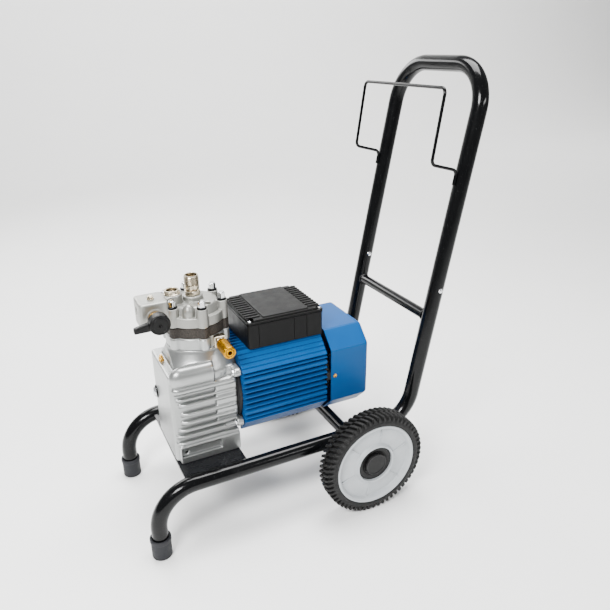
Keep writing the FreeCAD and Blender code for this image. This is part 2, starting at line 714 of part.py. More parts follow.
casting = [
    *lugEars("-(caseRear + lugLength)", "lugLength"),
    padded(plan, "caseTop", (0, 0, caseFloor), "z"),
    block("caseLength - footInset", "2 * footHalf", "footHeight",
          ("-(caseReach - footInset)", "-footHalf", caseFloor)),
    rod("collarRadius", "collarLength", ("-(caseRear + collarLength)", 0, "motorHeight"), "x"),
    overlap(taper("shoulderRadius", "neckRadius", "shoulderDrop",
                  ("-pumpReach", 0, "pumpSeat - shoulderDrop")),
            block("caseLength - shoulderInset", "2 * shoulderRadius", "shoulderDrop",
                  ("-(caseReach - shoulderInset)", "-shoulderRadius", "pumpSeat - shoulderDrop"))),
]
for side in ("-", ""):
    ribY = "-(caseHalf + ribReach)" if side else "caseHalf - 1"
    for count in range(8):
        ribZ = "motorHeight + ribTop - %d * ribPitch - ribThick / 2" % count
        casting.append(block("caseLength - 4", "ribReach + 1", "ribThick",
                             ("-(caseReach - 4)", ribY, ribZ)))
bossAt = ("-(caseReach - bossRadius)", "-(caseHalf + bossReach)")
casting.append(rod("bossRadius", "bossReach + 4", bossAt + ("motorHeight + bossRise",), "y"))
casting.append(block("bossLength - bossRadius", "bossReach + 4", "2 * bossRadius",
                     bossAt + ("motorHeight + bossRise - bossRadius",)))
hollows = [
    rod("chamberRadius", "caseLength - caseWall", ("-(caseReach - caseWall)", 0, "motorHeight"), "x"),
    rod("linerRadius + slipFit", "pumpSeat - motorHeight", ("-pumpReach", 0, "motorHeight")),
    rod("drainRadius - 4", "caseWall + 4",
        ("-caseReach", "drainAcross", "motorHeight - drainDrop"), "x"),
]
for y in ("-footHalf", "footHalf - slotDepth"):
    hollows.append(block("slotLength", "slotDepth", "slotHeight",
                         ("-(caseReach - 10)", y, "plateTop + 15")))
hollows += [rod("caseBoltRadius + slipFit", "15", (x, y, caseFloor)) for x, y in caseBolts]
hollows += [rod("shieldScrew + slipFit", "lugLength", ("-(caseRear + lugLength)", y, z), "x")
            for side, y, z in lugs]
hollows += [rod("lugRadius", "lugRecess", ("-(caseRear + lugLength + lugRecess)", y, z), "x")
            for side, y, z in lugs]
node("crankcase", cut(join(*casting), *hollows))

node("drain_plug", join(
    rod("drainRadius - 4", "caseWall", ("-caseReach", "drainAcross", "motorHeight - drainDrop"), "x"),
    hexagon("drainRadius", "5", ("-(caseReach + 5)", "drainAcross", "motorHeight - drainDrop"), "x"),
    taper("drainRadius * 0.5", "drainRadius * 0.8", "4",
          ("-(caseReach + 9)", "drainAcross", "motorHeight - drainDrop"), "x")))
fillerAt = ("-(caseReach - 8)", "fillerAcross", blockTop)
node("oil_filler_plug", join(
    hexagon("fillerRadius", "7", fillerAt),
    rod("fillerRadius * 0.6", "5", (fillerAt[0], fillerAt[1], blockTop + " + 7"))))
node("crankcase_bolts", group(*[join(
    rod("caseBoltRadius", "plateThick + 14", (x, y, "plateTop - plateThick")),
    hexagon("caseBoltRadius * 1.7", "5", (x, y, "plateTop - plateThick - 5")))
    for x, y in caseBolts]))


# ---- pump stack: lower flange, ring, head ----
def ears(radius, z, height):
    """One cylinder per pump bolt, the first straight to the near side."""
    step = 360 / int(value("boltCount"))
    return [rod(radius, height, ("-pumpReach + boltCircle * cos(%s)" % (k * step - 90),
                                 "boltCircle * sin(%s)" % (k * step - 90), z))
            for k in range(int(value("boltCount")))]


def scalloped(z, height):
    return join(rod("stackRadius", height, ("-pumpReach", 0, z)), *ears("earRadius", z, height))


centre = ("-pumpReach", 0)
node("pump_flange", cut(
    scalloped("pumpSeat", "lowerThick"),
    rod("linerRadius + slipFit", "lowerThick", centre + ("pumpSeat",)),
    taper("linerRadius", "workRadius", "lowerThick / 2 + 0.01",
          centre + ("pumpSeat + lowerThick / 2",)),
    block("2 * regulatorHalf + 2 * slipFit", "30", "lowerThick",
          ("-(regulatorX + regulatorHalf + slipFit)", "-(regulatorSeat + 30)", "pumpSeat")),
    *ears("boltShank + holePlay", "pumpSeat", "lowerThick")))
node("diaphragm", rod("diaphragmRadius", "diaphragmThick", centre + ("ringSeat",)))
node("diaphragm_ring", cut(
    scalloped("ringSeat", "ringThick"),
    rod("diaphragmRadius + slipFit", "diaphragmThick", centre + ("ringSeat",)),
    rod("workRadius", "ringThick", centre + ("ringSeat",)),
    *ears("boltShank + holePlay", "ringSeat", "ringThick")))

armLow = "(headSeat + armDrop)"
bulgeAt = ("-(pumpReach + bulgeReach)", "-bulgeAcross")
head = join(
    scalloped("headSeat", "headThick"),
    taper("stackRadius - 2", "domeRadius", "headDome", centre + ("headSeat + headThick",)),
    rod("inletBoss", "inletTop - headSeat - headThick", centre + ("headSeat + headThick",)),
    rod("outletBoss", "armTop - headSeat - headThick", ("-outletX", 0, "headSeat + headThick")),
    padded([("-(pumpReach + armReach)", "-(armFace - 8)"), ("-(pumpReach + armReach - 8)", "-armFace"),
            ("-(pumpReach + armRoot)", "-armFace"), ("-(pumpReach + armRoot)", "armHalf - armShift"),
            ("-(pumpReach + armReach - 8)", "armHalf - armShift"),
            ("-(pumpReach + armReach)", "armHalf - armShift - 8")],
           "armHeight", (0, 0, armLow), "z"),
    block("armRoot - outletReach + 2", "2 * bridgeHalf", "armHeight",
          ("-(pumpReach + armRoot + 1)", "-bridgeHalf", armLow)),
    rod("bulgeRadius", "bulgeRise", bulgeAt + ("headSeat + headThick",)),
    ball("bulgeRadius", bulgeAt + ("headSeat + headThick + bulgeRise",)),
    *ears("earRadius", "headSeat", "earTop - headSeat"))
node("pump_head", cut(
    head,
    rod("valvePocket", "valveSeatRise", centre + ("headSeat",)),
    rod("valvePassage", "inletTop - headSeat", centre + ("headSeat",)),
    rod("inletSpigot + slipFit", "inletSpigotDrop + 1", centre + ("inletTop - inletSpigotDrop - 1",)),
    rod("outletBore", "outletDepth", ("-outletX", 0, "armTop - outletDepth")),
    rod("portBore", "portDepth", ("-(pumpReach + armReach)", "0", "armTop - outletDepth + 9"), "x"),
    rod("portBore * 0.6", "armReach - outletReach",
        ("-(pumpReach + armReach)", 0, "armTop - outletDepth + 9"), "x"),
    rod("primeRadius * 0.6", "14", ("-leverX", "-armFace + 14", "leverZ"), "-y"),
    rod("armScrewRadius * 0.6", "10", ("-leverX", "-8", "armTop - 10")),
    *ears("boltShank + holePlay", "headSeat", "earTop - headSeat")))
node("head_washers", group(*[cut(a, b) for a, b in zip(
    ears("washerRadius", "earTop", "washerThick"),
    ears("boltShank + slipFit", "earTop", "washerThick"))]))
boltLow = "earTop + washerThick"
node("head_bolts", group(*[join(a, b) for a, b in zip(
    ears("boltShank", "pumpSeat + 4", boltLow + " - pumpSeat - 4"),
    ears("boltHead", boltLow, "boltHeadRise"))]))
node("inlet_fitting", cut(
    join(rod("inletSpigot", "inletSpigotDrop", centre + ("inletTop - inletSpigotDrop",)),
         hexagon("inletHex", "inletHexRise", centre + ("inletTop",)),
         rod("inletBarrel", "inletBarrelRise", centre + ("inletTop + inletHexRise",))),
    rod("inletBore", "inletSpigotDrop + inletHexRise + inletBarrelRise",
        centre + ("inletTop - inletSpigotDrop",))))
node("inlet_valve", join(
    rod("valveDisc", "valveDiscThick",
        centre + ("headSeat + valveSeatRise - valvePlay - valveDiscThick",)),
    rod("valveStem", "valveStemRise", centre + ("headSeat + valveSeatRise - valvePlay",))))
node("outlet_valve_nut", cut(
    rod("outletNut", "outletNutRise", ("-outletX", 0, "armTop")),
    rod("outletBore", "outletNutRise * 0.7", ("-outletX", 0, "armTop + outletNutRise * 0.3"))))
node("outlet_ball", ball("outletBall", ("-outletX", 0, "armTop - outletDepth + outletBall + valvePlay")))
node("arm_screw", join(
    hexagon("armScrewRadius", "armScrewRise", ("-leverX", "-8", "armTop")),
    rod("armScrewRadius * 0.6 - slipFit", "10", ("-leverX", "-8", "armTop - 10"))))
node("prime_valve_body", join(
    rod("primeRadius", "primeLength", ("-leverX", "-armFace", "leverZ"), "-y"),
    rod("primeRadius * 0.6 - slipFit", "14", ("-leverX", "-armFace + 14", "leverZ"), "-y")))
finger = padded([("0", "-leverRadius * 0.62"), ("0", "leverRadius * 0.62"),
                 ("-leverLength", "leverFinger - fingerDrop"), ("-leverLength", "-leverFinger - fingerDrop")],
                "leverThick * 0.55", ("-leverX", "-capFace - leverThick * 0.12", "leverZ"), "-y")
node("prime_valve_lever", join(
    rod("leverRadius", "leverThick", ("-leverX", "-capFace", "leverZ"), "-y"), finger))
node("regulator_body", join(
    block("2 * regulatorHalf", "regulatorDeep", "lowerThick - 1",
          ("-(regulatorX + regulatorHalf)", "-(regulatorSeat + regulatorDeep)", "pumpSeat + 0.5")),
    rod("collarNeck", "collarNeckLength + 24",
        ("-regulatorX", "-(regulatorSeat + regulatorDeep)", "regulatorZ"), "-y")))
knobAt = ("-regulatorX", "-(regulatorSeat + regulatorDeep + collarNeckLength)", "regulatorZ")
node("pressure_knob", cut(
    rod("knobRadius", "knobLength", knobAt, "-y"),
    rod("collarNeck + runningFit", "24 + slipFit + 1", knobAt, "-y")))

# ---- piston and its cylinder ----
linerLow = "(pumpSeat + lowerThick / 2 - linerLength)"
node("piston_cylinder", cut(rod("linerRadius", "linerLength", centre + (linerLow,)),
                            rod("pistonRadius + runningFit", "linerLength", centre + (linerLow,))))
node("piston", join(
    rod("followerRadius", "followerThick", centre + ("camTop",)),
    rod("pistonRadius", "%s + linerLength - 2 * camOffset - 2 - camTop" % linerLow,
        centre + ("camTop",))))

# ---- motor ----
frontHub = "(frontShieldThick + bearingThick + 2)"
node("motor_front_shield", cut(
    join(rod("shieldRadius", "frontShieldThick", ("-caseRear", 0, "motorHeight"), "x"),
         rod("bearingHub", frontHub, ("-caseRear", 0, "motorHeight"), "x"),
         *lugEars("-caseRear", "frontShieldThick")),
    rod("shaftRadius + 1", frontHub, ("-caseRear", 0, "motorHeight"), "x"),
    rod("bearingRadius", "bearingThick",
        ("-caseRear + %s - bearingThick" % frontHub, 0, "motorHeight"), "x"),
    *[rod("shieldScrew + slipFit", "frontShieldThick", ("-caseRear", y, z), "x")
      for side, y, z in lugs]))
node("shield_screws", group(*[join(
    rod("shieldScrew", "lugLength + frontShieldThick", ("-(caseRear + lugLength)", y, z), "x"),
    rod("lugRadius * 0.7", "4", ("-(caseRear + lugLength + 4)", y, z), "x")) for side, y, z in lugs]))


def coverScrew(side, out, radius, length):
    """A round piece on one fan cover screw's axis, starting this far out of the cover."""
    at = ("-coverFront + coverScrewInset", "%s(coverHalf + %s)" % (side, out), "motorHeight")
    return rod(radius, length, at, side + "y")


rearHub = "(rearShieldThick + bearingThick + 2)"
rearHubX = "-(coverFront + %s)" % rearHub
node("motor_rear_shield", cut(
    join(rod("shieldRadius", "rearShieldThick", ("-housingRear", 0, "motorHeight"), "x"),
         rod("bearingHub", rearHub, (rearHubX, 0, "motorHeight"), "x"),
         *[block("rearShieldThick + 2 * coverScrewInset", "12", "2 * coverLug",
                 ("-housingRear", y, "motorHeight - coverLug"))
           for y in ("-(coverHalf - coverSheet - slipFit)", "coverHalf - coverSheet - slipFit - 12")]),
    rod("shaftRadius + 1", rearHub, (rearHubX, 0, "motorHeight"), "x"),
    rod("bearingRadius", "bearingThick", (rearHubX, 0, "motorHeight"), "x"),
    coverScrew("-", "-9", "coverScrewRadius * 0.6 + slipFit", "9"),
    coverScrew("", "-9", "coverScrewRadius * 0.6 + slipFit", "9")))


def bearing(x):
    return cut(rod("bearingRadius", "bearingThick", (x, 0, "motorHeight"), "x"),
               rod("shaftRadius + runningFit", "bearingThick", (x, 0, "motorHeight"), "x"))


node("motor_bearings", group(
    bearing("-caseRear + %s - bearingThick" % frontHub), bearing(rearHubX)))

wall = octagon("motorHalf", "motorTopHalf", "motorCorner", "finDepth")
shellAt = ("-housingFront", 0, "motorHeight")
fins = []
sideCount = int(value("(motorHalf - motorCorner) / sideFinPitch"))
for side in (-1, 1):
    finY = "-motorHalf" if side < 0 else "motorHalf - finDepth - finRoot"
    for k in range(-sideCount, sideCount + 1):
        fins.append(block("housingLength", "finDepth + finRoot", "finThick",
                          ("-housingFront", finY, "motorHeight + %d * sideFinPitch - finThick / 2" % k)))
    finZ = "motorHeight - motorTopHalf" if side < 0 else "motorHeight + motorTopHalf - finDepth - finRoot"
    for k in range(-sideCount, sideCount + 1):
        fins.append(block("housingLength", "finThick", "finDepth + finRoot",
                          ("-housingFront", "%d * sideFinPitch - finThick / 2" % k, finZ)))
node("motor_housing", cut(
    join(padded(wall, "housingLength", shellAt),
         overlap(padded(octagon("motorHalf", "motorTopHalf", "motorCorner"),
                        "housingLength", shellAt), join(*fins))),
    rod("statorRadius", "housingLength", shellAt, "x")))

coreAt = ("-coreFront", 0, "motorHeight")
node("stator", cut(
    join(rod("statorRadius", "coreLength", coreAt, "x"),
         rod("windingRadius", "coreLength + 2 * windingReach",
             ("-coreFront - windingReach", 0, "motorHeight"), "x")),
    rod("rotorRadius + airGap", "coreLength + 2 * windingReach",
        ("-coreFront - windingReach", 0, "motorHeight"), "x")))
node("rotor", cut(rod("rotorRadius", "coreLength", coreAt, "x"),
                  rod("shaftRadius", "coreLength", coreAt, "x")))
node("motor_shaft", rod("shaftRadius", "shaftNose + caseRear - coverFront + shaftTail",
                        ("-(caseRear + shaftNose)", 0, "motorHeight"), "x"))
camX = "-(pumpReach + camWidth / 2)"
node("eccentric", cut(rod("camRadius", "camWidth", (camX, 0, "motorHeight - camOffset"), "x"),
                      rod("shaftRadius", "camWidth", (camX, 0, "motorHeight"), "x")))

fanX = "-(coverFront - 4)"
blades = []
for k in range(int(value("bladeCount"))):
    blade = doc.addObject("Part::Box", "blade")
    tie(blade, Length="fanBlade", Width="fanRadius - fanHub + 2", Height="bladeThick")
    turn = Rotation(Vector(1, 0, 0), 360 * k / int(value("bladeCount")))
    start = turn.multVec(Vector(0, value("fanHub") - 2, -value("bladeThick") / 2))
    place(blade, (fanX, str(start.y), "motorHeight + %s" % start.z), turn)
    blades.append(blade)
node("cooling_fan", cut(
    join(rod("fanHub", "fanBlade", (fanX, 0, "motorHeight"), "x"),
         rod("fanRadius", "fanDisc", (fanX, 0, "motorHeight"), "x"), *blades),
    rod("shaftRadius", "fanBlade", (fanX, 0, "motorHeight"), "x")))

coverAt = ("-coverFront", 0, "motorHeight")
shell = padded(octagon("coverHalf", "coverTopHalf", "coverCorner"), "coverLength", coverAt,
               pocket=octagon("coverHalf", "coverTopHalf", "coverCorner", "coverSheet"),
               pocketDepth="coverLength - coverSheet")
vents = []
for ring in range(1, int(value("ventRings")) + 1):
    for k in range(6 * ring):
        angle = 360 * k / (6 * ring)
        vents.append(rod("ventRadius", "coverSheet + 2", (
            "-coverFront + coverLength - coverSheet - 1", "%d * ventPitch * cos(%s)" % (ring, angle),
            "motorHeight + %d * ventPitch * sin(%s)" % (ring, angle)), "x"))
node("fan_cover", cut(
    shell, *vents, *[coverScrew(side, "-2 * coverSheet", "coverScrewRadius * 0.6 + slipFit", "9")
                     for side in ("-", "")]))
node("fan_cover_screws", group(*[join(
    coverScrew(side, "0", "coverScrewRadius", "2.5"),
    coverScrew(side, "-7", "coverScrewRadius * 0.6", "8")) for side in ("-", "")]))

# ---- terminal box ----
node("terminal_box", cut(
    block("boxLength", "2 * boxHalf", "boxHeight", ("-boxFront", "-boxHalf", "boxFloor")),
    block("boxLength - 2 * boxWall", "2 * (boxHalf - boxWall)", "boxHeight - boxWall",
          ("-boxFront + boxWall", "-(boxHalf - boxWall)", "boxFloor + boxWall")),
    rod("glandRadius * 0.7 + slipFit", "boxWall", (
        "-boxFront + glandAlong", "boxHalf - boxWall", "boxFloor + boxHeight / 2"), "y"),
    block("rockerLength + 2 * rockerPlay", "boxWall", "rockerHeight + 2 * rockerPlay", (
        "-boxFront + switchAlong - rockerLength / 2 - rockerPlay", "boxHalf - boxWall",
        "boxFloor + boxHeight / 2 - rockerHeight / 2 - rockerPlay"))))
lid = block("boxLength", "2 * boxHalf", "lidHeight", ("-boxFront", "-boxHalf", "lidSeam"))
hollowLid = cut(lid, block("boxLength - 2 * boxWall", "2 * (boxHalf - boxWall)", "lidHeight - boxWall",
                           ("-boxFront + boxWall", "-(boxHalf - boxWall)", "lidSeam")))
doc.recompute()
rounded = doc.addObject("Part::Fillet", "rounded")
rounded.Base = hollowLid
topZ = value("lidSeam + lidHeight")
rounded.Edges = [(i, value("lidEdge"), value("lidEdge"))
                 for i, edge in enumerate(hollowLid.Shape.Edges, start=1)
                 if all(abs(v.Z - topZ) < 1e-6 for v in edge.Vertexes)]
lidCorners = [(x, y) for x in ("-boxFront + lidScrewInset", "-boxFront + boxLength - lidScrewInset")
              for y in ("-(boxHalf - lidScrewInset)", "boxHalf - lidScrewInset")]
node("terminal_box_lid", cut(rounded, *[
    rod("lidScrewRadius + slipFit", "lidHeight", (x, y, "lidSeam + lidHeight - 4")) for x, y in lidCorners]))
node("lid_screws", group(*[rod("lidScrewRadius", "3.5", (x, y, "lidSeam + lidHeight - 4"))
                           for x, y in lidCorners]))
node("capacitor", rod("capacitorRadius", "capacitorLength",
                      ("-boxFront + 30", "-20", "boxFloor + boxWall + capacitorRadius"), "x"))
glandAt = ("-boxFront + glandAlong", "boxHalf", "boxFloor + boxHeight / 2")
node("cable_gland", cut(
    join(hexagon("glandRadius", "glandLength / 3", glandAt, "y"),
         rod("glandRadius * 0.85", "glandLength", glandAt, "y"),
         rod("glandRadius * 0.7", "boxWall", (glandAt[0], "boxHalf - boxWall", glandAt[2]), "y")),
    rod("glandBore", "glandLength + boxWall", (glandAt[0], "boxHalf - boxWall", glandAt[2]), "y")))
switchX, switchZ = "(-boxFront + switchAlong)", "(boxFloor + boxHeight / 2)"
openingLength, openingHeight = "(rockerLength + 2 * rockerPlay)", "(rockerHeight + 2 * rockerPlay)"
pinLength = "(%s + 2 * rockerPinReach)" % openingLength
pinAt = (switchX + " - %s / 2" % pinLength, "boxHalf + switchThick / 2", switchZ)
node("switch_frame", cut(
    block("switchLength", "switchThick", "switchHeight",
          (switchX + " - switchLength / 2", "boxHalf", switchZ + " - switchHeight / 2")),
    block(openingLength, "switchThick", openingHeight,
          (switchX + " - %s / 2" % openingLength, "boxHalf", switchZ + " - %s / 2" % openingHeight)),
    rod("rockerPin + runningFit", pinLength + " + 0.4",
        (pinAt[0] + " - 0.2", pinAt[1], pinAt[2]), "x")))
node("switch_rocker", join(
    padded([("-2", "-rockerHeight / 2"), ("switchThick + 2", "-rockerHeight / 2"),
            ("switchThick + 0.4", 0), ("switchThick - 1", "rockerHeight / 2"),
            ("-2", "rockerHeight / 2")],
           "rockerLength", (switchX + " - rockerLength / 2", "boxHalf", switchZ)),
    rod("rockerPin", pinLength, pinAt, "x")))

# ---- check every object, then write one file per sub-part ----
doc.recompute()
for thing in doc.Objects:
    if {"Invalid", "Error"} & set(thing.State):
        raise RuntimeError("%s (%s) did not rebuild" % (thing.Name, thing.Label))
for label, thing in nodes.items():
    shape = thing.Shape
    if shape.isNull() or not shape.isValid() or not shape.Solids:
        raise RuntimeError(label + " has no valid solid")
os.makedirs("parts", exist_ok=True)
for label, thing in nodes.items():
    thing.Shape.exportStep("parts/%s.step" % label)
print(len(nodes), "sub-parts written")
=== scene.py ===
import json
import math

import bmesh
import bpy
from mathutils import Matrix, Vector

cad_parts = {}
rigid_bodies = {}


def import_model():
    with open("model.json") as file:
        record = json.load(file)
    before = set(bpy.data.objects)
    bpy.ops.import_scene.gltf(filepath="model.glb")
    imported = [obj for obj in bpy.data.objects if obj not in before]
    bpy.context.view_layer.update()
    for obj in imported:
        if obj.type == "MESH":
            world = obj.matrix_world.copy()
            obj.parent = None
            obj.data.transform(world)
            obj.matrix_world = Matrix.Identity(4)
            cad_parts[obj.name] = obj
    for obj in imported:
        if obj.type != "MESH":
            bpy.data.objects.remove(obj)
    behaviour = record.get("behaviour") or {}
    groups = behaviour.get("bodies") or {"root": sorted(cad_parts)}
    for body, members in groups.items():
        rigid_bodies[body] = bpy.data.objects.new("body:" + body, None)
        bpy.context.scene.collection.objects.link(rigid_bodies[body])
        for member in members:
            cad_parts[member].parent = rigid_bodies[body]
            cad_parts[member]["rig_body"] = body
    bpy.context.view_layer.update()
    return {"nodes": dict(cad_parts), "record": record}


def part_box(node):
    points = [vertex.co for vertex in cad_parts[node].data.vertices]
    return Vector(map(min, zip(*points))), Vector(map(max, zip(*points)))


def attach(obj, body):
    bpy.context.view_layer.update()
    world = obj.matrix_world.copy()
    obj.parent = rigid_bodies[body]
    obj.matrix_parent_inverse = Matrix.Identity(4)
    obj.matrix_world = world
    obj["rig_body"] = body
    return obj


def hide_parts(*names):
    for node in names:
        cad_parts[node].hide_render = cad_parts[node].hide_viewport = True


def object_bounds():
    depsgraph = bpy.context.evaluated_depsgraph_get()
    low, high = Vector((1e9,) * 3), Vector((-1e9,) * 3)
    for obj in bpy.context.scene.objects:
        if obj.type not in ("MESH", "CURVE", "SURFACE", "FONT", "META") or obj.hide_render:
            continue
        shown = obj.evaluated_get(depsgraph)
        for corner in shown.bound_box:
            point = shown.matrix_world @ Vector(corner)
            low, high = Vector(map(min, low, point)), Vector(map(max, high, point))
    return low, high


# Airless paint sprayer on a two-wheel cart. Shapes are drawn in millimetres in the frame's own axes.
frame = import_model()
mm = 0.001
slotOf = {row["node"]: row["material_slot"] for row in frame["record"]["subparts"]}
surfaces = {}
print("frame loaded,", len(slotOf), "nodes")


def nodeBox(node):
    # lowest and highest corner in millimetres
    low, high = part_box(node)
    return Vector(low) / mm, Vector(high) / mm


def spanOf(node):
    low, high = nodeBox(node)
    return low, high, (low + high) / 2


def middleOf(node):
    return spanOf(node)[2]


def placed(name, data):
    thing = bpy.data.objects.new(name, data)
    bpy.context.scene.collection.objects.link(thing)
    return thing


# ---- surfaces ----
def linearColour(text):
    parts = [int(text[i:i + 2], 16) / 255 for i in (1, 3, 5)]
    linear = [c / 12.92 if c <= 0.04045 else ((c + 0.055) / 1.055) ** 2.4 for c in parts]
    return (*linear, 1.0)


def addNode(tree, kind, inputs):
    node = tree.nodes.new("ShaderNode" + kind)
    for name, value in inputs.items():
        if isinstance(value, bpy.types.NodeSocket):
            tree.links.new(value, node.inputs[name])
        else:
            node.inputs[name].default_value = linearColour(value) if isinstance(value, str) else value
    return node


def noise(tree, spot, size, detail, rough=0.5):
    # a cloudy pattern with features of this many millimetres
    inputs = {"Vector": spot, "Scale": 1 / (size * mm), "Detail": detail, "Roughness": rough}
    return addNode(tree, "TexNoise", inputs).outputs[0]


def blend(tree, share, first, second):
    return addNode(tree, "MixRGB", {"Fac": share, "Color1": first, "Color2": second}).outputs[0]


def remap(tree, value, low, high, start=0.0, end=1.0):
    inputs = {"Value": value, "From Min": low, "From Max": high, "To Min": start, "To Max": end}
    return addNode(tree, "MapRange", inputs).outputs[0]


def startSurface(slot, name):
    material = bpy.data.materials.new(name)
    material.use_nodes = True
    material.node_tree.nodes.clear()
    surfaces[slot] = material
    return material.node_tree, addNode(material.node_tree, "TexCoord", {}).outputs["Object"]


def finishSurface(tree, tone, rough, height=None, strength=0.0, depth=0.0, shine=0.5, metal=0.0):
    body = {"Base Color": tone, "Roughness": rough, "Specular IOR Level": shine, "Metallic": metal}
    if height:
        relief = {"Height": height, "Strength": strength, "Distance": depth}
        body["Normal"] = addNode(tree, "Bump", relief).outputs[0]
    shaded = addNode(tree, "BsdfPrincipled", body).outputs[0]
    addNode(tree, "OutputMaterial", {"Surface": shaded})


def powderCoat(slot, **look):
    # powder-coated steel: deep black, mirror-like highlights broken by a fine orange peel and dust
    tree, spot = startSurface(slot, look["name"])
    cloud = noise(tree, spot, look["cloud"], 5.0)
    speck = remap(tree, noise(tree, spot, look["dust"], 3.0), 0.66, 0.74, 0.0, look["dusty"])
    tone = blend(tree, speck, blend(tree, cloud, look["dark"], look["light"]), "#6f7072")
    rough = remap(tree, cloud, 0.3, 0.7, *look["rough"])
    finishSurface(tree, tone, rough, noise(tree, spot, look["peel"], 1.5), 0.35, 0.00006, look["shine"])


powderCoat("frame_tube", name="Powder coated steel tube", dark="#040405", light="#090a0b", peel=1.6, cloud=45,
           dust=2.2, dusty=0.2, rough=(0.11, 0.2), shine=0.2)
powderCoat("base_plate", name="Powder coated steel plate", dark="#0c0d0f", light="#16171a", peel=1.6,
           cloud=30, dust=2.5, dusty=0.3, rough=(0.2, 0.36), shine=0.3)


def blueEnamel():
    # sprayed blue enamel on aluminium: even colour, soft gloss, slight orange peel, cloudy depth
    look = {"blue": "#014984", "deep": "#013f74", "peel": 1.4, "cloud": 60, "rough": (0.28, 0.42),
            "shine": 0.16}
    tree, spot = startSurface("blue_paint", "Blue enamel on aluminium")
    cloud = noise(tree, spot, look["cloud"], 4.0)
    rough = remap(tree, cloud, 0.0, 1.0, *look["rough"])
    finishSurface(tree, blend(tree, cloud, look["deep"], look["blue"]), rough,
                  noise(tree, spot, look["peel"], 2.0), 0.3, 0.00008, look["shine"])


blueEnamel()


def castAluminium(slot, **look):
    # cast aluminium after tumbling or blasting: pale satin metal, fine pitted grain, random stains, painted
    # shade in the corners and painted highlights on the sharp edges
    tree, spot = startSurface(slot, look["name"])
    grain = noise(tree, spot, look["grain"], 6.0, 0.65)
    point = addNode(tree, "NewGeometry", {}).outputs["Pointiness"]
    tone = blend(tree, noise(tree, spot, look["stain"], 4.0), look["dull"], look["bright"])
    # painted shade: hollows, found by low pointiness, are darkened
    dirty = blend(tree, remap(tree, point, 0.43, 0.495, 1.0, 0.0), tone, look["dirt"])
    # painted highlight: sharp outward edges, found by high pointiness, are lightened
    litEdges = blend(tree, remap(tree, point, 0.51, 0.58, 0.0, 0.6), dirty, look["edge"])
    rough = remap(tree, grain, 0.3, 0.7, *look["rough"])
    finishSurface(tree, litEdges, rough, grain, look["bump"], 0.00015, metal=look["metal"])


# the hollow colour of each casting is painted shade and its edge colour a painted highlight
castAluminium("cast_case", name="Die-cast aluminium", metal=0.85, grain=0.9, stain=40, dull="#8f9190",
              bright="#a9abaa", dirt="#454648", rough=(0.28, 0.4), bump=0.35, edge="#cfd0cf")
castAluminium("cast_head", name="Blasted sand-cast aluminium", metal=0.75, grain=0.8, stain=25,
              dull="#878782", bright="#9f9f9a", dirt="#45433f", rough=(0.34, 0.5), bump=0.6, edge="#bdbdb8")


def castIron():
    # phosphated cast iron ring: dark brown grey, coarse speckle, matt
    look = {"dark": "#171412", "light": "#443d36", "grain": 2.6, "rough": 0.6, "metal": 0.4}
    tree, spot = startSurface("ring_iron", "Cast iron")
    grain = noise(tree, spot, look["grain"], 8.0, 0.75)
    tone = blend(tree, remap(tree, grain, 0.38, 0.68), look["dark"], look["light"])
    finishSurface(tree, tone, look["rough"], grain, 0.8, 0.0003, metal=look["metal"])


castIron()


def turnedMetal(slot, **look):
    # machined or plated metal: fine turning lines, faint handling marks, stains where the plating is thin,
    # painted shade in the hollows
    tree, spot = startSurface(slot, look["name"])
    stain = noise(tree, spot, look["stain"], 6.0, 0.7)
    mask = remap(tree, stain, look["thin"], look["thin"] + 0.12)
    point = addNode(tree, "NewGeometry", {}).outputs["Pointiness"]
    # painted shade: hollows, found by low pointiness, take the darker colour
    stainedAndShaded = blend(tree, remap(tree, point, 0.42, 0.5, 0.9, 0.0),
                   blend(tree, mask, look["clean"], look["stained"]), look.get("dirt", "#55524c"))
    rough = remap(tree, stain, 0.3, 0.7, *look["rough"])
    finishSurface(tree, stainedAndShaded, rough, noise(tree, spot, look["lines"], 2.0), look["bump"], 0.00005,
                  metal=1.0)


# each metal's hollows take painted shade, a darker colour; the gold knob gives its own
turnedMetal("chrome_screw", name="Chromed steel", clean="#dadcde", stained="#b9bbbd", lines=0.8, stain=6,
            thin=0.55, rough=(0.08, 0.22), bump=0.1)
turnedMetal("zinc_steel", name="Zinc plated steel", clean="#b8bcbf", stained="#9a9c98", lines=0.6, stain=8,
            thin=0.5, rough=(0.22, 0.4), bump=0.2)
turnedMetal("nickel_brass", name="Nickel plated brass", clean="#c4b9a4", stained="#6e5433", lines=0.5,
            stain=5, thin=0.56, rough=(0.14, 0.34), bump=0.25)
turnedMetal("brass", name="Turned brass", clean="#d8aa55", stained="#9c7434", lines=0.5, stain=4, thin=0.6,
            rough=(0.18, 0.36), bump=0.25)
turnedMetal("gold_knob", name="Gold anodised aluminium", clean="#c08a10", stained="#8a5a06", lines=0.6,
            stain=5, thin=0.55, rough=(0.22, 0.36), bump=0.25, dirt="#3a2502")
turnedMetal("steel_core", name="Machined steel", clean="#a9abad", stained="#7d7f80", lines=0.5, stain=9,
            thin=0.5, rough=(0.25, 0.42), bump=0.3)
turnedMetal("washer_black", name="Black oxide steel", clean="#1c1c1d", stained="#2c2b2a", lines=0.6, stain=5,
            thin=0.5, rough=(0.35, 0.5), bump=0.3)


def mouldedSurface(slot, **look):
    # moulded plastic or rubber: the tool's grain shows as a fine bump, handling leaves patches less matt
    tree, spot = startSurface(slot, look["name"])
    grain = addNode(tree, "TexVoronoi", {"Vector": spot, "Scale": 1 / (look["grain"] * mm)}).outputs[0]
    patch = noise(tree, spot, look["patch"], 5.0, 0.6)
    finishSurface(tree, blend(tree, patch, look["dark"], look["light"]),
                  remap(tree, patch, 0.3, 0.7, *look["rough"]), grain, look["bump"], 0.00012,
                  look.get("shine", 0.3))


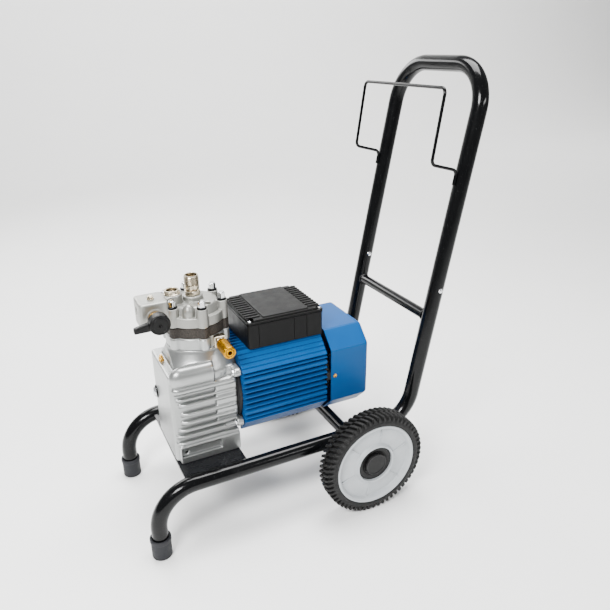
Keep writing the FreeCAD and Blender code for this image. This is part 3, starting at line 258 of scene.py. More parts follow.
mouldedSurface("box_plastic", name="Spark-textured ABS", dark="#030303", light="#0a0a0a", grain=1.0, patch=18,
               rough=(0.38, 0.52), bump=0.5, shine=0.16)
mouldedSurface("lever_plastic", name="Moulded nylon", dark="#030303", light="#0a0a0a", grain=1.6, patch=7,
               rough=(0.32, 0.5), bump=0.3, shine=0.2)
mouldedSurface("hub_plastic", name="Moulded polypropylene, black", dark="#040404", light="#0c0c0d", grain=1.4,
               patch=9, rough=(0.35, 0.5), bump=0.35, shine=0.2)
mouldedSurface("rocker_plastic", name="Polished polycarbonate", dark="#121213", light="#19191a", grain=1.0,
               patch=9, rough=(0.14, 0.22), bump=0.05)
mouldedSurface("fan_plastic", name="Moulded polyamide", dark="#1b1b1c", light="#262627", grain=1.2, patch=12,
               rough=(0.4, 0.55), bump=0.3)
mouldedSurface("rim_plastic", name="Moulded polypropylene, light grey", dark="#9a9ea1", light="#bcc0c3",
               grain=1.5, patch=30, rough=(0.34, 0.46), bump=0.12)
mouldedSurface("capacitor_can", name="Moulded polycarbonate can", dark="#b8b9ba", light="#c8c9ca", grain=1.0,
               patch=20, rough=(0.35, 0.45), bump=0.1)
mouldedSurface("rubber_foot", name="Moulded rubber, grey", dark="#15161a", light="#232428", grain=1.3,
               patch=12, rough=(0.55, 0.75), bump=0.35)
mouldedSurface("tyre_rubber", name="Vulcanised tyre rubber", dark="#030303", light="#0e0e0e", grain=1.1,
               patch=6, rough=(0.5, 0.78), bump=0.7, shine=0.3)
mouldedSurface("diaphragm_rubber", name="Fabric-reinforced rubber", dark="#1c1a18", light="#292622",
               grain=0.9, patch=10, rough=(0.6, 0.8), bump=0.5)
mouldedSurface("black_casting", name="Black painted cast aluminium", dark="#0e0e10", light="#1d1d1f",
               grain=1.8, patch=10, rough=(0.4, 0.6), bump=0.6)
print("surfaces made:", len(surfaces))


# ---- shape tools: a bmesh in millimetres, and a spot in the axes of a piece ----
def spotOn(axis, u, v, w):
    return Vector({"x": (w, u, v), "y": (u, w, v), "z": (u, v, w)}[axis])


def soften(points, radius, steps=3, closed=True):
    # round each corner of a line of 2D points
    made = []
    count = len(points)
    for i, point in enumerate(points):
        if not closed and i in (0, count - 1):
            made.append(Vector(point))
            continue
        here = Vector(point)
        before, after = Vector(points[i - 1]) - here, Vector(points[(i + 1) % count]) - here
        reach = min(radius, before.length * 0.48, after.length * 0.48)
        first, last = here + before.normalized() * reach, here + after.normalized() * reach
        for k in range(steps + 1):
            t = k / steps
            made.append(first * (1 - t) ** 2 + here * 2 * t * (1 - t) + last * t ** 2)
    return made


def rectangle(lowU, lowV, highU, highV):
    return [(lowU, lowV), (highU, lowV), (highU, highV), (lowU, highV)]


def hexagon(radius, turn=0.0):
    return [(radius * math.cos(turn + k * math.pi / 3), radius * math.sin(turn + k * math.pi / 3))
            for k in range(6)]


def loft(shape, rings, closed=False):
    rows = [[shape.verts.new(point) for point in ring] for ring in rings]
    pairs = list(zip(rows, rows[1:])) + ([(rows[-1], rows[0])] if closed else [])
    for first, second in pairs:
        for i in range(len(first)):
            j = (i + 1) % len(first)
            shape.faces.new((first[i], first[j], second[j], second[i]))
    if not closed:
        shape.faces.new(rows[0][::-1])
        shape.faces.new(rows[-1])


def insetOutline(outline, distance):
    made = []
    count = len(outline)
    for i, point in enumerate(outline):
        before = (point - outline[i - 1]).normalized()
        after = (outline[(i + 1) % count] - point).normalized()
        normal = Vector((-before.y - after.y, before.x + after.x))
        made.append(point + normal * distance / max(normal.length_squared / 2, 0.4))
    return made


def prism(shape, outline, start, end, axis="z", at=(0, 0, 0), ease=1.0, steps=3):
    # an outline drawn along an axis, with rounded edges at both ends
    outline = [Vector(point) for point in outline]
    area = sum(outline[i - 1].cross(outline[i]) for i in range(len(outline)))
    if area < 0:
        outline.reverse()
    start, end = sorted((start, end))
    ease = min(ease, (end - start) * 0.48)
    rings = []
    for k in range(steps + 1):
        angle = k / steps * math.pi / 2
        rings.append((ease * (1 - math.sin(angle)), start + ease * (1 - math.cos(angle))))
    rings += [(inset, start + end - along) for inset, along in reversed(rings)]
    centre = Vector(at)
    loft(shape, [[centre + spotOn(axis, p.x, p.y, along) for p in insetOutline(outline, inset)]
                 for inset, along in rings])


def block(shape, low, high, ease=1.5, corner=None):
    outline = soften(rectangle(low[0], low[1], high[0], high[1]), corner or ease)
    prism(shape, outline, low[2], high[2], ease=ease)


def circleOutline(radius, steps=48, at=(0, 0)):
    turns = [2 * math.pi * k / steps for k in range(steps)]
    return [(at[0] + radius * math.cos(a), at[1] + radius * math.sin(a)) for a in turns]


def rod(shape, radius, start, end, axis="z", at=(0, 0, 0), ease=0.8, steps=48):
    prism(shape, circleOutline(radius, steps), start, end, axis, at, ease)


def lathe(shape, profile, at, axis="z", steps=72, closed=False, ripple=None):
    # (radius, along) pairs turned about an axis; ripple(angle, along) adds to the radius
    rows = []
    for radius, along in profile:
        if radius < 1e-6:
            rows.append([shape.verts.new(Vector(at) + spotOn(axis, 0, 0, along))])
            continue
        row = []
        for k in range(steps):
            angle = 2 * math.pi * k / steps
            reach = radius + (ripple(angle, along) if ripple else 0)
            row.append(shape.verts.new(Vector(at) + spotOn(axis, reach * math.cos(angle),
                                                           reach * math.sin(angle), along)))
        rows.append(row)
    pairs = list(zip(rows, rows[1:])) + ([(rows[-1], rows[0])] if closed else [])
    for first, second in pairs:
        for k in range(steps):
            corners = [first[k % len(first)], first[(k + 1) % steps % len(first)],
                       second[(k + 1) % steps % len(second)], second[k % len(second)]]
            corners = [c for i, c in enumerate(corners) if c not in corners[:i]]
            if len(corners) > 2:
                shape.faces.new(corners)


def hexHead(shape, radius, start, end, axis, at, turn=0.0):
    prism(shape, soften(hexagon(radius, turn), radius * 0.12, 2), start, end, axis, at, ease=radius * 0.12)


def meshFrom(shape, name):
    bmesh.ops.recalc_face_normals(shape, faces=shape.faces)
    mesh = bpy.data.meshes.new(name)
    shape.to_mesh(mesh)
    shape.free()
    mesh.transform(Matrix.Scale(mm, 4))
    return mesh


def cutBy(piece, tool):
    cutter = piece.modifiers.new("cutter", "BOOLEAN")
    cutter.operation = "DIFFERENCE"
    cutter.solver = "MANIFOLD"
    cutter.object = tool


def finishedMesh(piece):
    # the mesh with its modifiers applied; the object goes
    made = bpy.data.meshes.new_from_object(piece.evaluated_get(bpy.context.evaluated_depsgraph_get()))
    bpy.data.objects.remove(piece)
    return made


def melt(name, add, take, voxel, passes):
    # overlapping solids become one skin with soft inner corners, as a casting has
    def skin(piece):
        remesh = piece.modifiers.new("skin", "REMESH")
        remesh.mode = "VOXEL"
        remesh.voxel_size = voxel * mm
    rough = placed(name, meshFrom(take, name))
    skin(rough)
    tool = placed(name + "Tool", finishedMesh(rough))
    lump = placed(name, meshFrom(add, name))
    skin(lump)
    cutBy(lump, tool)
    skin(lump)
    ease = lump.modifiers.new("ease", "SMOOTH")
    ease.factor = 0.5
    ease.iterations = passes
    made = finishedMesh(lump)
    bpy.data.objects.remove(tool)
    return made


def startShape(node):
    return bmesh.new(), *spanOf(node)


def addPiece(name, mesh, *nodes, crease=38, body=None, slot=None, plain=True):
    # a finished mesh that stands for these CAD nodes and takes the first one's body and surface
    if isinstance(mesh, bmesh.types.BMesh):
        mesh = meshFrom(mesh, name)
    slot = slot or slotOf[nodes[0]]
    body = body or frame["nodes"][nodes[0]]["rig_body"]
    mesh.materials.clear()
    mesh.materials.append(surfaces[slot])
    mesh.shade_smooth()
    piece = placed(name, mesh)
    if plain:
        mesh.set_sharp_from_angle(angle=math.radians(crease))
        even = piece.modifiers.new("even shading", "WEIGHTED_NORMAL")
        even.keep_sharp = True
    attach(piece, body)
    if nodes:
        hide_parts(*nodes)
    return piece


# ---- wheels ----
tyreLook = {"lugs": 58, "lugWidth": 5.6, "lugReach": 18.5, "skew": 8.5, "depth": 6.0}
rimLook = {"ribs": 6, "ribWidth": 2.0, "ribHeight": 1.4}
capLook = {"ticks": 9, "tickSize": 2.6}


def lug(shape, centre, turn, row, stations, width, root):
    # one block of tread: each station is (distance from the middle, share of the skew, top radius)
    rings = []
    for across, share, top in stations:
        angle = turn + row * share * tyreLook["skew"] / top
        ring = []
        for reach, half in ((root, width / 2 + 1.0), (top - 0.8, width / 2), (top, width / 2 - 0.9)):
            ring.append((reach, angle - half / reach))
        ring += [(reach, 2 * angle - a) for reach, a in reversed(ring)]
        rings.append([centre + spotOn("y", r * math.cos(a), r * math.sin(a), row * across) for r, a in ring])
    loft(shape, rings)


def buildTyre(side):
    low, high, centre = spanOf("tyre_" + side)
    radius, half = (high.z - low.z) / 2, (high.y - low.y) / 2
    floor = radius - tyreLook["depth"]
    bead = nodeBox("rim_" + side)[1].z - centre.z
    shape = bmesh.new()
    wall = [(bead, -half), (bead + 8, -half), (floor - 6, -half + 2), (floor - 1.5, -half + 6.5), (floor, -8)]
    profile = soften(wall + [(r, -w) for r, w in reversed(wall)], 3, 3)
    lathe(shape, profile, centre, "y", steps=116, closed=True)
    count = tyreLook["lugs"]
    for row in (-1, 1):
        for k in range(count):
            turn = 2 * math.pi * (k + (0.5 if row > 0 else 0)) / count
            stations = [(0.8, 0.0, radius - 0.1), (tyreLook["lugReach"] * 0.6, 0.6, radius - 0.2),
                        (tyreLook["lugReach"], 1.0, radius - 1.4)]
            lug(shape, centre, turn, row, stations, tyreLook["lugWidth"], floor - 3)
            tooth = [(half - 4.6, 1.15, radius - 2.2), (half - 1.0, 1.2, radius - 5.5)]
            lug(shape, centre, turn, row, tooth, tyreLook["lugWidth"] * 0.8, floor - 9)
    addPiece("tyre_" + side + "_tread", shape, "tyre_" + side, crease=30)


def buildRim(side):
    low, high, centre = spanOf("rim_" + side)
    out = -1 if side == "left" else 1
    face = low.y if side == "left" else high.y
    edge = (high.z - low.z) / 2
    width = high.y - low.y
    front = [(edge, 3), (edge - 0.6, 0.3), (edge - 3.6, 0), (edge - 4.6, 1.5), (edge - 6.4, 2.4),
             (edge - 7.4, 4.2), (edge - 9.6, 10.4), (edge - 11.6, 11.2), (47, 9), (44.2, 4), (43.4, 2.1),
             (40.6, 2.1),
             (39.6, 3.4), (39.6, 15), (9.05, 15)]
    back = [(9.05, width), (20, width), (20, 21), (edge - 5, 21), (edge - 5, width), (edge, width)]
    shape = bmesh.new()
    profile = soften(front + back, 1.0, 2)
    at = Vector((centre.x, 0, centre.z))
    lathe(shape, [(p.x, face - out * p.y) for p in profile], at, "y", steps=120, closed=True)
    for k in range(rimLook["ribs"]):
        angle = 2 * math.pi * (k + 0.3) / rimLook["ribs"]
        start, end = 45.5, edge - 9.0
        along = Vector((math.cos(angle), math.sin(angle)))
        across = Vector((-along.y, along.x)) * rimLook["ribWidth"] / 2
        outline = [along * start - across, along * end - across, along * end + across, along * start + across]
        prism(shape, outline, face - out * (9.6 - rimLook["ribHeight"]), face - out * 12, "y", at, ease=0.5)
    addPiece("rim_" + side + "_disc", shape, "rim_" + side, crease=30)
    shape = bmesh.new()
    cap = [(37.2, 15), (37.2, 9.4), (38.9, 8.2), (37.6, 7.2), (29, 8.0), (27, 9.6), (25.2, 9.4), (24.8, 3.6),
           (23.6, 2.2),
           (21.5, 2.0), (20.5, 2.8), (0, 2.8)]
    eased = soften(cap, 0.9, 2, closed=False)
    lathe(shape, [(p.x, face - out * p.y) for p in eased] + [(0, face - out * 5.0), (15, face - out * 5.0),
                                                             (15, face - out * 15)],
          at, "y", steps=72, closed=True)
    for k in range(capLook["ticks"]):
        angle = 2 * math.pi * k / capLook["ticks"]
        spot = Vector((math.cos(angle), math.sin(angle))) * 24.4
        prism(shape, circleOutline(capLook["tickSize"] / 2, 10, spot), face - out * 2.4, face - out * 8.8,
              "y", at, 0.5)
    addPiece("hub_cap_" + side + "_cover", shape, "hub_cap_" + side)


for side in ("left", "right"):
    buildTyre(side)
    buildRim(side)
print("wheels made")


# ---- rubber feet ----
footLook = {"rimHeight": 9.0, "rimRise": 1.2, "wall": 3.4, "tubeSink": 6.0}


def buildFoot(side):
    low, high, centre = spanOf("foot_cap_" + side)
    radius = (high.x - low.x) / 2
    wall, top = radius - footLook["rimRise"], high.z - low.z
    tube = wall - footLook["wall"]
    step, seat = top - footLook["rimHeight"], top - footLook["tubeSink"]
    line = soften([(0, 0), (wall, 0), (wall, step), (radius, step + 0.8), (radius, top), (tube, top),
                   (tube, seat)],
                  2.2, 3, closed=False)
    shape = bmesh.new()
    lathe(shape, line + [(0, seat)], (centre.x, centre.y, low.z), steps=56)
    addPiece("foot_cap_" + side + "_rubber", shape, "foot_cap_" + side)


for side in ("left", "right"):
    buildFoot(side)
print("feet made")


# ---- crankcase ----
caseLook = {"half": 72.0, "corner": 10.0, "footHalf": 83.0, "footHeight": 40.0, "bossRadius": 22.5,
            "bossRise": 64.0, "bossReach": 14.0, "bossLength": 86.0, "collar": 88.0, "collarHalf": 79.0,
            "ear": 9.0, "earCircle": 101.0, "earAngle": 34.0, "neck": 60.0, "shoulder": 80.0,
            "pocket": 91.0, "pocketHalf": 15.0, "footHole": 3.4, "earCut": 8.2, "plugBoss": 15.0,
            "shoulderCut": 66.0, "flatBelow": 50.0}
# each side rib: height above the motor axis, thickness, start behind the front face, stand-out
sideRibs = [(38.5, 15.0, 2.0, 9.5), (19.5, 5.0, 7.0, 8.5), (6.5, 7.5, 12.0, 10.0), (-14.5, 8.0, 15.0, 10.0),
            (-33.0, 8.0, 14.0, 10.0), (-49.0, 7.0, 7.0, 10.0), (-61.5, 5.5, 2.0, 9.5),
            (-78.0, 7.0, 1.0, 10.5)]
motorZ = middleOf("motor_shaft").z
pumpX = middleOf("diaphragm").x
pumpSeat = nodeBox("pump_flange")[0].z
caseFront, caseRear = nodeBox("base_plate")[0].x, nodeBox("motor_front_shield")[0].x
caseFloor = nodeBox("crankcase")[0].z
blockTop = caseFloor + 190


def caseRib(shape, side, rise, thick, start, stand):
    # a rounded rib that swells out of the wall at its front end and runs over the collar
    inner, outer = side * (caseLook["half"] - 4), side * (caseLook["half"] + stand)
    front, z = caseFront + start, motorZ + rise
    outline = soften([(front, inner), (front + 2, side * (caseLook["half"] + 4)), (front + 14, outer),
                      (caseRear - 1, outer), (caseRear - 1, inner)], 6, 3)
    prism(shape, outline, z - thick / 2, z + thick / 2, ease=thick * 0.46, steps=4)


def buildCrankcase():
    look = caseLook
    add, take = bmesh.new(), bmesh.new()
    block(add, (caseFront, -look["half"], caseFloor), (caseRear, look["half"], blockTop), 3, look["corner"])
    block(add, (caseFront + 6, -look["footHalf"], caseFloor),
          (caseRear, look["footHalf"], caseFloor + look["footHeight"]),
          2, 4)
    for side in (-1, 1):
        for rib in sideRibs:
            caseRib(add, side, *rib)
        block(take, (caseFront + 10, side * look["pocket"] - look["pocketHalf"], caseFloor + 15),
              (caseFront + 92, side * look["pocket"] + look["pocketHalf"], caseFloor + 35),
              1.5, 2)
        rod(take, look["footHole"], side * (look["footHalf"] - 20), side * 90, "y",
            (caseFront + 20, 0, caseFloor + 21),
            0.2, 16)
    rings = []
    for k in range(10):
        swell = math.sin(math.radians(8 + 82 * k / 9))
        x = caseFront + 0.5 + look["bossRadius"] - (look["bossRadius"] * math.sqrt(1 - swell ** 2))
        rings.append((x, swell))
    rings.append((caseFront + look["bossLength"], 1.0))
    turns = [2 * math.pi * k / 40 for k in range(40)]
    bossZ, bossOut = motorZ + look["bossRise"], look["bossReach"] + 2
    loft(add, [[Vector((x, 2 - look["half"] - bossOut * swell * math.cos(turn),
                        bossZ + look["bossRadius"] * swell * math.sin(turn))) for turn in turns]
               for x, swell in rings])
    collar = [(max(-look["collarHalf"], min(look["collarHalf"], u)) if v < look["flatBelow"] else u, v)
              for u, v in circleOutline(look["collar"] - 0.3, 120)]
    prism(add, soften(collar, 2, 1), caseRear - 44, caseRear, "x", (0, 0, motorZ), ease=3)
    slope = soften([(0, -60), (look["shoulder"], -60), (look["shoulder"], -42), (66, -18), (look["neck"], -5),
                    (look["neck"], 0), (0, 0)], 6, 3, closed=False)
    lathe(add, slope, (pumpX, 0, pumpSeat), steps=96)
    block(take, (caseFront - 30, -look["shoulderCut"], blockTop),
          (caseFront + 18, look["shoulderCut"], blockTop + 70), 1)
    for side in (-1, 1):
        for up in (-1, 1):
            y = side * look["earCircle"] * math.cos(math.radians(look["earAngle"]))
            z = motorZ + up * look["earCircle"] * math.sin(math.radians(look["earAngle"]))
            rod(add, look["ear"], caseRear - 7, caseRear + 6, "x", (0, y, z), 1.5, 32)
            block(add, (caseRear - 7, min(y, y - side * 24), z - 8.5),
                  (caseRear + 6, max(y, y - side * 24), z + 8.5), 1.5)
            rod(take, look["earCut"], caseRear - 30, caseRear - 7, "x", (0, y, z), 0.5, 32)
    plug = middleOf("drain_plug")
    rod(add, look["plugBoss"], caseFront - 1.2, caseFront + 6, "x", (0, plug.y, plug.z), 0.8, 40)
    mesh = melt("crankcase_casting", add, take, voxel=1.25, passes=3)
    addPiece("crankcase_casting", mesh, "crankcase", plain=False)


buildCrankcase()
print("crankcase made")


# ---- pump flange, ring and head ----
stackLook = {"radius": 60.0, "circle": 56.0, "ear": 11.5, "bolts": 6}
headLook = {"base": 20.0, "armHalf": 30.0, "armShift": -5.0, "armFront": 110.0, "armRoot": 55.0,
            "bulge": 11.0, "bulgeX": -21.0, "bulgeY": -41.0, "boltBoss": 10.8, "webLength": 30.0,
            "webHalf": 5.0, "inletBoss": 19.5, "outletBoss": 18.6, "leverBoss": 17.0, "portRadius": 7.6,
            "coreRadius": 6.5, "coreCircle": 38.0}
boltAngles = [math.radians(-90 + 60 * k) for k in range(stackLook["bolts"])]
boltSpots = [(pumpX + stackLook["circle"] * math.cos(a),
              stackLook["circle"] * math.sin(a)) for a in boltAngles]


def scallop(grow=0.0, steps=216):
    # the round stack with one swelling round each bolt
    outline = []
    for k in range(steps):
        angle = 2 * math.pi * k / steps
        reach = stackLook["radius"] + grow
        for bolt in boltAngles:
            off = stackLook["circle"] * math.sin(angle - bolt)
            ear = stackLook["ear"] + grow
            if abs(off) < ear and math.cos(angle - bolt) > 0:
                along = stackLook["circle"] * math.cos(angle - bolt)
                reach = max(reach, along + math.sqrt(ear ** 2 - off ** 2))
        outline.append((pumpX + reach * math.cos(angle), reach * math.sin(angle)))
    return outline


def buildStack():
    shape, low, high, _ = startShape("pump_flange")
    prism(shape, scallop(-0.3), low.z, high.z - 1.2, ease=2.2, steps=4)
    prism(shape, scallop(-1.6), high.z - 2, high.z, ease=0.3, steps=1)
    addPiece("pump_flange_casting", shape, "pump_flange")
    shape, low, high, _ = startShape("diaphragm_ring")
    prism(shape, scallop(-0.6), low.z + 1.2, high.z - 0.8, ease=1.2, steps=3)
    prism(shape, scallop(-3), low.z, high.z, ease=0.2, steps=1)
    addPiece("diaphragm_ring_iron", shape, "diaphragm_ring")


def buildHead():
    look = headLook
    seat = nodeBox("pump_head")[0].z
    top = nodeBox("head_washers")[0].z
    armTop = nodeBox("outlet_valve_nut")[0].z
    inlet = middleOf("inlet_fitting")
    outlet = middleOf("outlet_valve_nut")
    lever = middleOf("prime_valve_body")
    add, take = bmesh.new(), bmesh.new()
    prism(add, scallop(-0.4), seat, seat + look["base"], ease=1.6)
    slope = soften([(0, 10), (52, 10), (51, look["base"] + 2), (45, top - seat), (0, top - seat)], 3, 3,
                   closed=False)
    lathe(add, slope, (pumpX, 0, seat), steps=80)
    for spot in boltSpots:
        rod(add, look["boltBoss"], seat + 4, top, at=(*spot, 0), ease=1.2, steps=40)
        web = Vector((pumpX, 0)) - Vector(spot)
        web.normalize()
        across = Vector((-web.y, web.x)) * look["webHalf"]
        start, end = Vector(spot), Vector(spot) + web * look["webLength"]
        prism(add, [start - across, end - across, end + across, start + across], seat + 6, top - 5, ease=1.5)
    hexBottom = nodeBox("inlet_fitting")[1].z - 40
    rod(add, look["inletBoss"], seat + 20, hexBottom, at=(inlet.x, inlet.y, 0), ease=2.5)
    rod(add, look["outletBoss"], seat + 20, armTop, at=(outlet.x, outlet.y, 0), ease=1.5)
    armLow, armHigh = look["armShift"] - look["armHalf"], look["armShift"] + look["armHalf"]
    block(add, (pumpX - look["armFront"], armLow, seat + 4), (pumpX - look["armRoot"], armHigh, armTop), 3.5,
          9)
    block(add, (pumpX - look["armRoot"] - 4, -16, seat + 6), (pumpX - 30, 16, armTop - 2), 3, 6)
    rod(add, look["leverBoss"], armLow - 1.5, armLow + 10, "y", (lever.x, 0, lever.z), 1.5)
    bulgeX, bulgeY = pumpX + look["bulgeX"], look["bulgeY"]
    tip = look["bulge"]
    profile = [(0, seat + look["base"] - 6), (tip, seat + look["base"] - 6), (tip, seat + look["base"] + 8)]
    profile += [(tip * math.cos(a), seat + look["base"] + 8 + 1.5 * tip * math.sin(a))
                for a in [math.pi / 2 * k / 6 for k in range(1, 6)]] + [(0,
                                                                         seat + look["base"] + 8 + 1.5 * tip)]
    lathe(add, profile, (bulgeX, bulgeY, 0), steps=32)
    block(add, (bulgeX - 9, bulgeY, seat + look["base"] - 4),
          (bulgeX + 9, bulgeY + 26, seat + look["base"] + 18), 4)
    port = seat + 35
    rod(take, look["portRadius"], pumpX - look["armFront"] - 4, pumpX - look["armFront"] + 20, "x",
        (0, 0, port), 0.4, 32)
    for k in (0, 2):
        angle = (boltAngles[k] + boltAngles[(k + 1) % 6]) / 2
        spot = Vector((pumpX, 0)) + Vector((math.cos(angle), math.sin(angle))) * look["coreCircle"]
        rod(take, look["coreRadius"], top - 9, top + 4, at=(spot.x, spot.y, 0), ease=3, steps=28)
    addPiece("pump_head_casting", melt("pump_head_casting", add, take, voxel=0.85, passes=4), "pump_head",
             plain=False)


buildStack()
buildHead()
print("pump head made")


# ---- fasteners and fittings on the pump ----
fittingLook = {"threadPitch": 2.2, "threadDepth": 0.8, "knurlPitch": 3.4, "knurlDepth": 0.8,
               "boltRadius": 4.0,
               "boltHex": 7.6, "boltCrown": 6.0, "washerBore": 4.2, "washerRadius": 9.5, "inletHex": 16.6,
               "inletThread": 14.3, "screwFlange": 7.0, "screwHex": 6.4, "drainHex": 12.0, "drainStem": 7.8,
               "fillerHex": 5.8}


def threaded(radius, start, end, pitch, depth):
    # a profile with one tooth per pitch
    profile = []
    along = start
    while along < end - pitch * 0.5:
        profile += [(radius - depth, along), (radius, along + pitch * 0.35), (radius, along + pitch * 0.55)]
        along += pitch
    return profile + [(radius - depth, end)]


def buildPumpFittings():
    look = fittingLook
    low, high = nodeBox("head_bolts")
    washer = nodeBox("head_washers")
    shape = bmesh.new()
    for k, spot in enumerate(boltSpots):
        rod(shape, look["boltRadius"], low.z, washer[1].z + 1, at=(*spot, 0))
        hexHead(shape, look["boltHex"], washer[1].z + 0.1, high.z - 1.2, "z", (*spot, 0), 0.3 * k)
        rod(shape, look["boltCrown"], high.z - 3, high.z, at=(*spot, 0), ease=1.2, steps=32)
    addPiece("head_bolts_hex", shape, "head_bolts")
    shape = bmesh.new()
    bore, edge = look["washerBore"], look["washerRadius"]
    profile = [(bore, 0), (edge - 0.2, 0), (edge, 0.5), (edge, 2.3), (edge - 0.3, 2.9), (bore, 2.9)]
    for spot in boltSpots:
        lathe(shape, profile, (*spot, washer[0].z), steps=36, closed=True)
    addPiece("head_washers_spring", shape, "head_washers")

    shape, low, high, centre = startShape("inlet_fitting")
    barrel = high.z - 30
    hexHead(shape, look["inletHex"], barrel - 10, barrel, "z", (centre.x, centre.y, 0), 0.35)
    thread = threaded(look["inletThread"], barrel + 12, high.z - 2.5, look["threadPitch"],
                      look["threadDepth"])
    profile = [(9.1, low.z), (12, low.z), (12, barrel - 4), (12.6, barrel + 1), (14.3, barrel + 3),
               (14.3, barrel + 10),
               (13.2, barrel + 11)] + thread + [(13.6, high.z - 1), (12.8, high.z), (11.4, high.z),
                                                (10.6, high.z - 1.5),
                                                (10.6, high.z - 16), (9.1, high.z - 17)]
    lathe(shape, profile, (centre.x, centre.y, 0), steps=64, closed=True)
    addPiece("inlet_fitting_brass", shape, "inlet_fitting")

    shape, low, high, centre = startShape("outlet_valve_nut")

    def notches(angle, along):
        return -1.4 if abs((angle * 2 / math.pi) % 1 - 0.5) < 0.08 else 0
    lathe(shape, [(0, low.z), (15.8, low.z), (15.8, low.z + 2), (15, low.z + 2.6), (15, high.z - 1),
                  (14.2, high.z),
                  (11.4, high.z), (10.8, high.z - 0.8), (10.6, low.z + 2.8), (4, low.z + 2.4),
                  (3.4, low.z + 4), (0, low.z + 4.2)],
          (centre.x, centre.y, 0), steps=96, ripple=notches)
    addPiece("outlet_valve_nut_ring", shape, "outlet_valve_nut")

    low, high, centre = spanOf("arm_screw")
    flat = high.z - 7
    shape = bmesh.new()
    rod(shape, 4, low.z, flat + 1, at=(centre.x, centre.y, 0))
    rod(shape, look["screwFlange"], flat, flat + 1.6, at=(centre.x, centre.y, 0), ease=0.4)
    hexHead(shape, look["screwHex"], flat + 1.5, high.z - 1.2, "z", (centre.x, centre.y, 0), 0.2)
    rod(shape, 4.4, high.z - 3, high.z, at=(centre.x, centre.y, 0), ease=1.2)
    addPiece("arm_screw_hex", shape, "arm_screw")

    shape, low, high, centre = startShape("prime_valve_body")
    face = low.y
    barrel = soften([(0, face), (11.5, face), (12.8, face + 1.5), (12.8, face + 9), (11.4, face + 9.6),
                     (11.4, face + 11),
                     (13, face + 11.6), (13, face + 15.8), (7.6, face + 15.8), (7.6, high.y), (0, high.y)],
                    0.6, 2,
                    closed=False)
    lathe(shape, barrel, (centre.x, 0, centre.z), "y", steps=56)
    addPiece("prime_valve_body_barrel", shape, "prime_valve_body")

    shape, low, high, centre = startShape("drain_plug")
    face = low.x + 9
    rod(shape, look["drainStem"], face - 1, high.x, "x", (0, centre.y, centre.z))
    hexHead(shape, look["drainHex"], face - 5.5, face - 2.4, "x", (0, centre.y, centre.z), 0.25)
    dome = [(0, low.x), (5, low.x + 0.4), (8.5, low.x + 1.6), (10.2, face - 5.4), (10.2, face - 4.5),
            (0, face - 4.5)]
    lathe(shape, dome, (0, centre.y, centre.z), "x", steps=40)
    addPiece("drain_plug_chrome", shape, "drain_plug")
    shape = bmesh.new()
    lathe(shape, [(8, face - 2.6), (13.4, face - 2.6), (13.9, face - 2), (13.9, face - 0.2), (8, face - 0.2)],
          (0, centre.y, centre.z), "x", steps=48, closed=True)
    addPiece("drain_plug_seal", shape, body="root", slot="washer_black")

    shape, low, high, centre = startShape("oil_filler_plug")
    rod(shape, look["fillerHex"], low.z, low.z + 1.4, at=(centre.x, centre.y, 0), ease=0.3)
    hexHead(shape, look["fillerHex"], low.z + 1.2, low.z + 7, "z", (centre.x, centre.y, 0), 0.3)
    rod(shape, 3.4, low.z + 6.5, high.z, at=(centre.x, centre.y, 0), ease=1.0, steps=24)
    addPiece("oil_filler_plug_hex", shape, "oil_filler_plug")


buildPumpFittings()


def buildRegulator():
    look = fittingLook
    low, high = nodeBox("regulator_body")
    knobLow, knobHigh = nodeBox("pressure_knob")
    centre = (knobLow + knobHigh) / 2
    shape = bmesh.new()
    block(shape, (low.x, high.y - 16, low.z), (high.x, high.y, high.z), 1.6, 2.5)
    neck = knobHigh.y
    collar = soften([(0, neck - 20), (7.8, neck - 20), (7.8, neck + 0.5), (9.4, neck + 1), (9.4, neck + 3.4),
                     (8.6, neck + 4.2), (10.4, neck + 5), (10.4, neck + 8.6), (8, neck + 9.4),
                     (0, neck + 10)], 0.5, 2,
                    closed=False)
    lathe(shape, collar, (centre.x, 0, centre.z), "y", steps=56)
    addPiece("regulator_body_block", shape, "regulator_body")

    radius = (knobHigh.z - knobLow.z) / 2
    tip, root = knobLow.y, knobHigh.y
    around = round(2 * math.pi * radius / look["knurlPitch"])

    def knurl(angle, along):
        # crossed helical grooves over the gripping length
        if along > root - 6 or along < tip + 5:
            return 0
        turn = angle * around / (2 * math.pi)
        climb = along / look["knurlPitch"]
        return -look["knurlDepth"] * (abs((turn + climb) % 1 - 0.5) + abs((turn - climb) % 1 - 0.5))
    rows = [(radius - 1.2, root), (radius - 0.4, root - 0.8), (radius - 0.4, root - 5.2),
            (radius - 1.4, root - 5.6)]
    length = root - 6.4 - (tip + 5.4)
    rows += [(radius - 0.1, root - 6.4 - length * k / 44) for k in range(45)]
    rows += [(radius - 1.4, tip + 4.8), (radius - 0.5, tip + 4.2), (radius - 0.5, tip + 1),
             (radius - 1.5, tip),
             (radius - 3.6, tip), (radius - 4.2, tip + 0.9), (radius - 5.6, tip + 0.9),
             (radius - 6.2, tip + 0.1),
             (4.4, tip + 0.1), (3.9, tip + 0.8), (3.9, tip + 7), (0, tip + 7)]
    rows = [(8.1, root)] + rows
    shape = bmesh.new()
    lathe(shape, rows + [(0, root - 25), (8.1, root - 25)], (centre.x, 0, centre.z), "y", steps=208,
          closed=True,
          ripple=knurl)
    addPiece("pressure_knob_knurled", shape, "pressure_knob", crease=50)


buildRegulator()


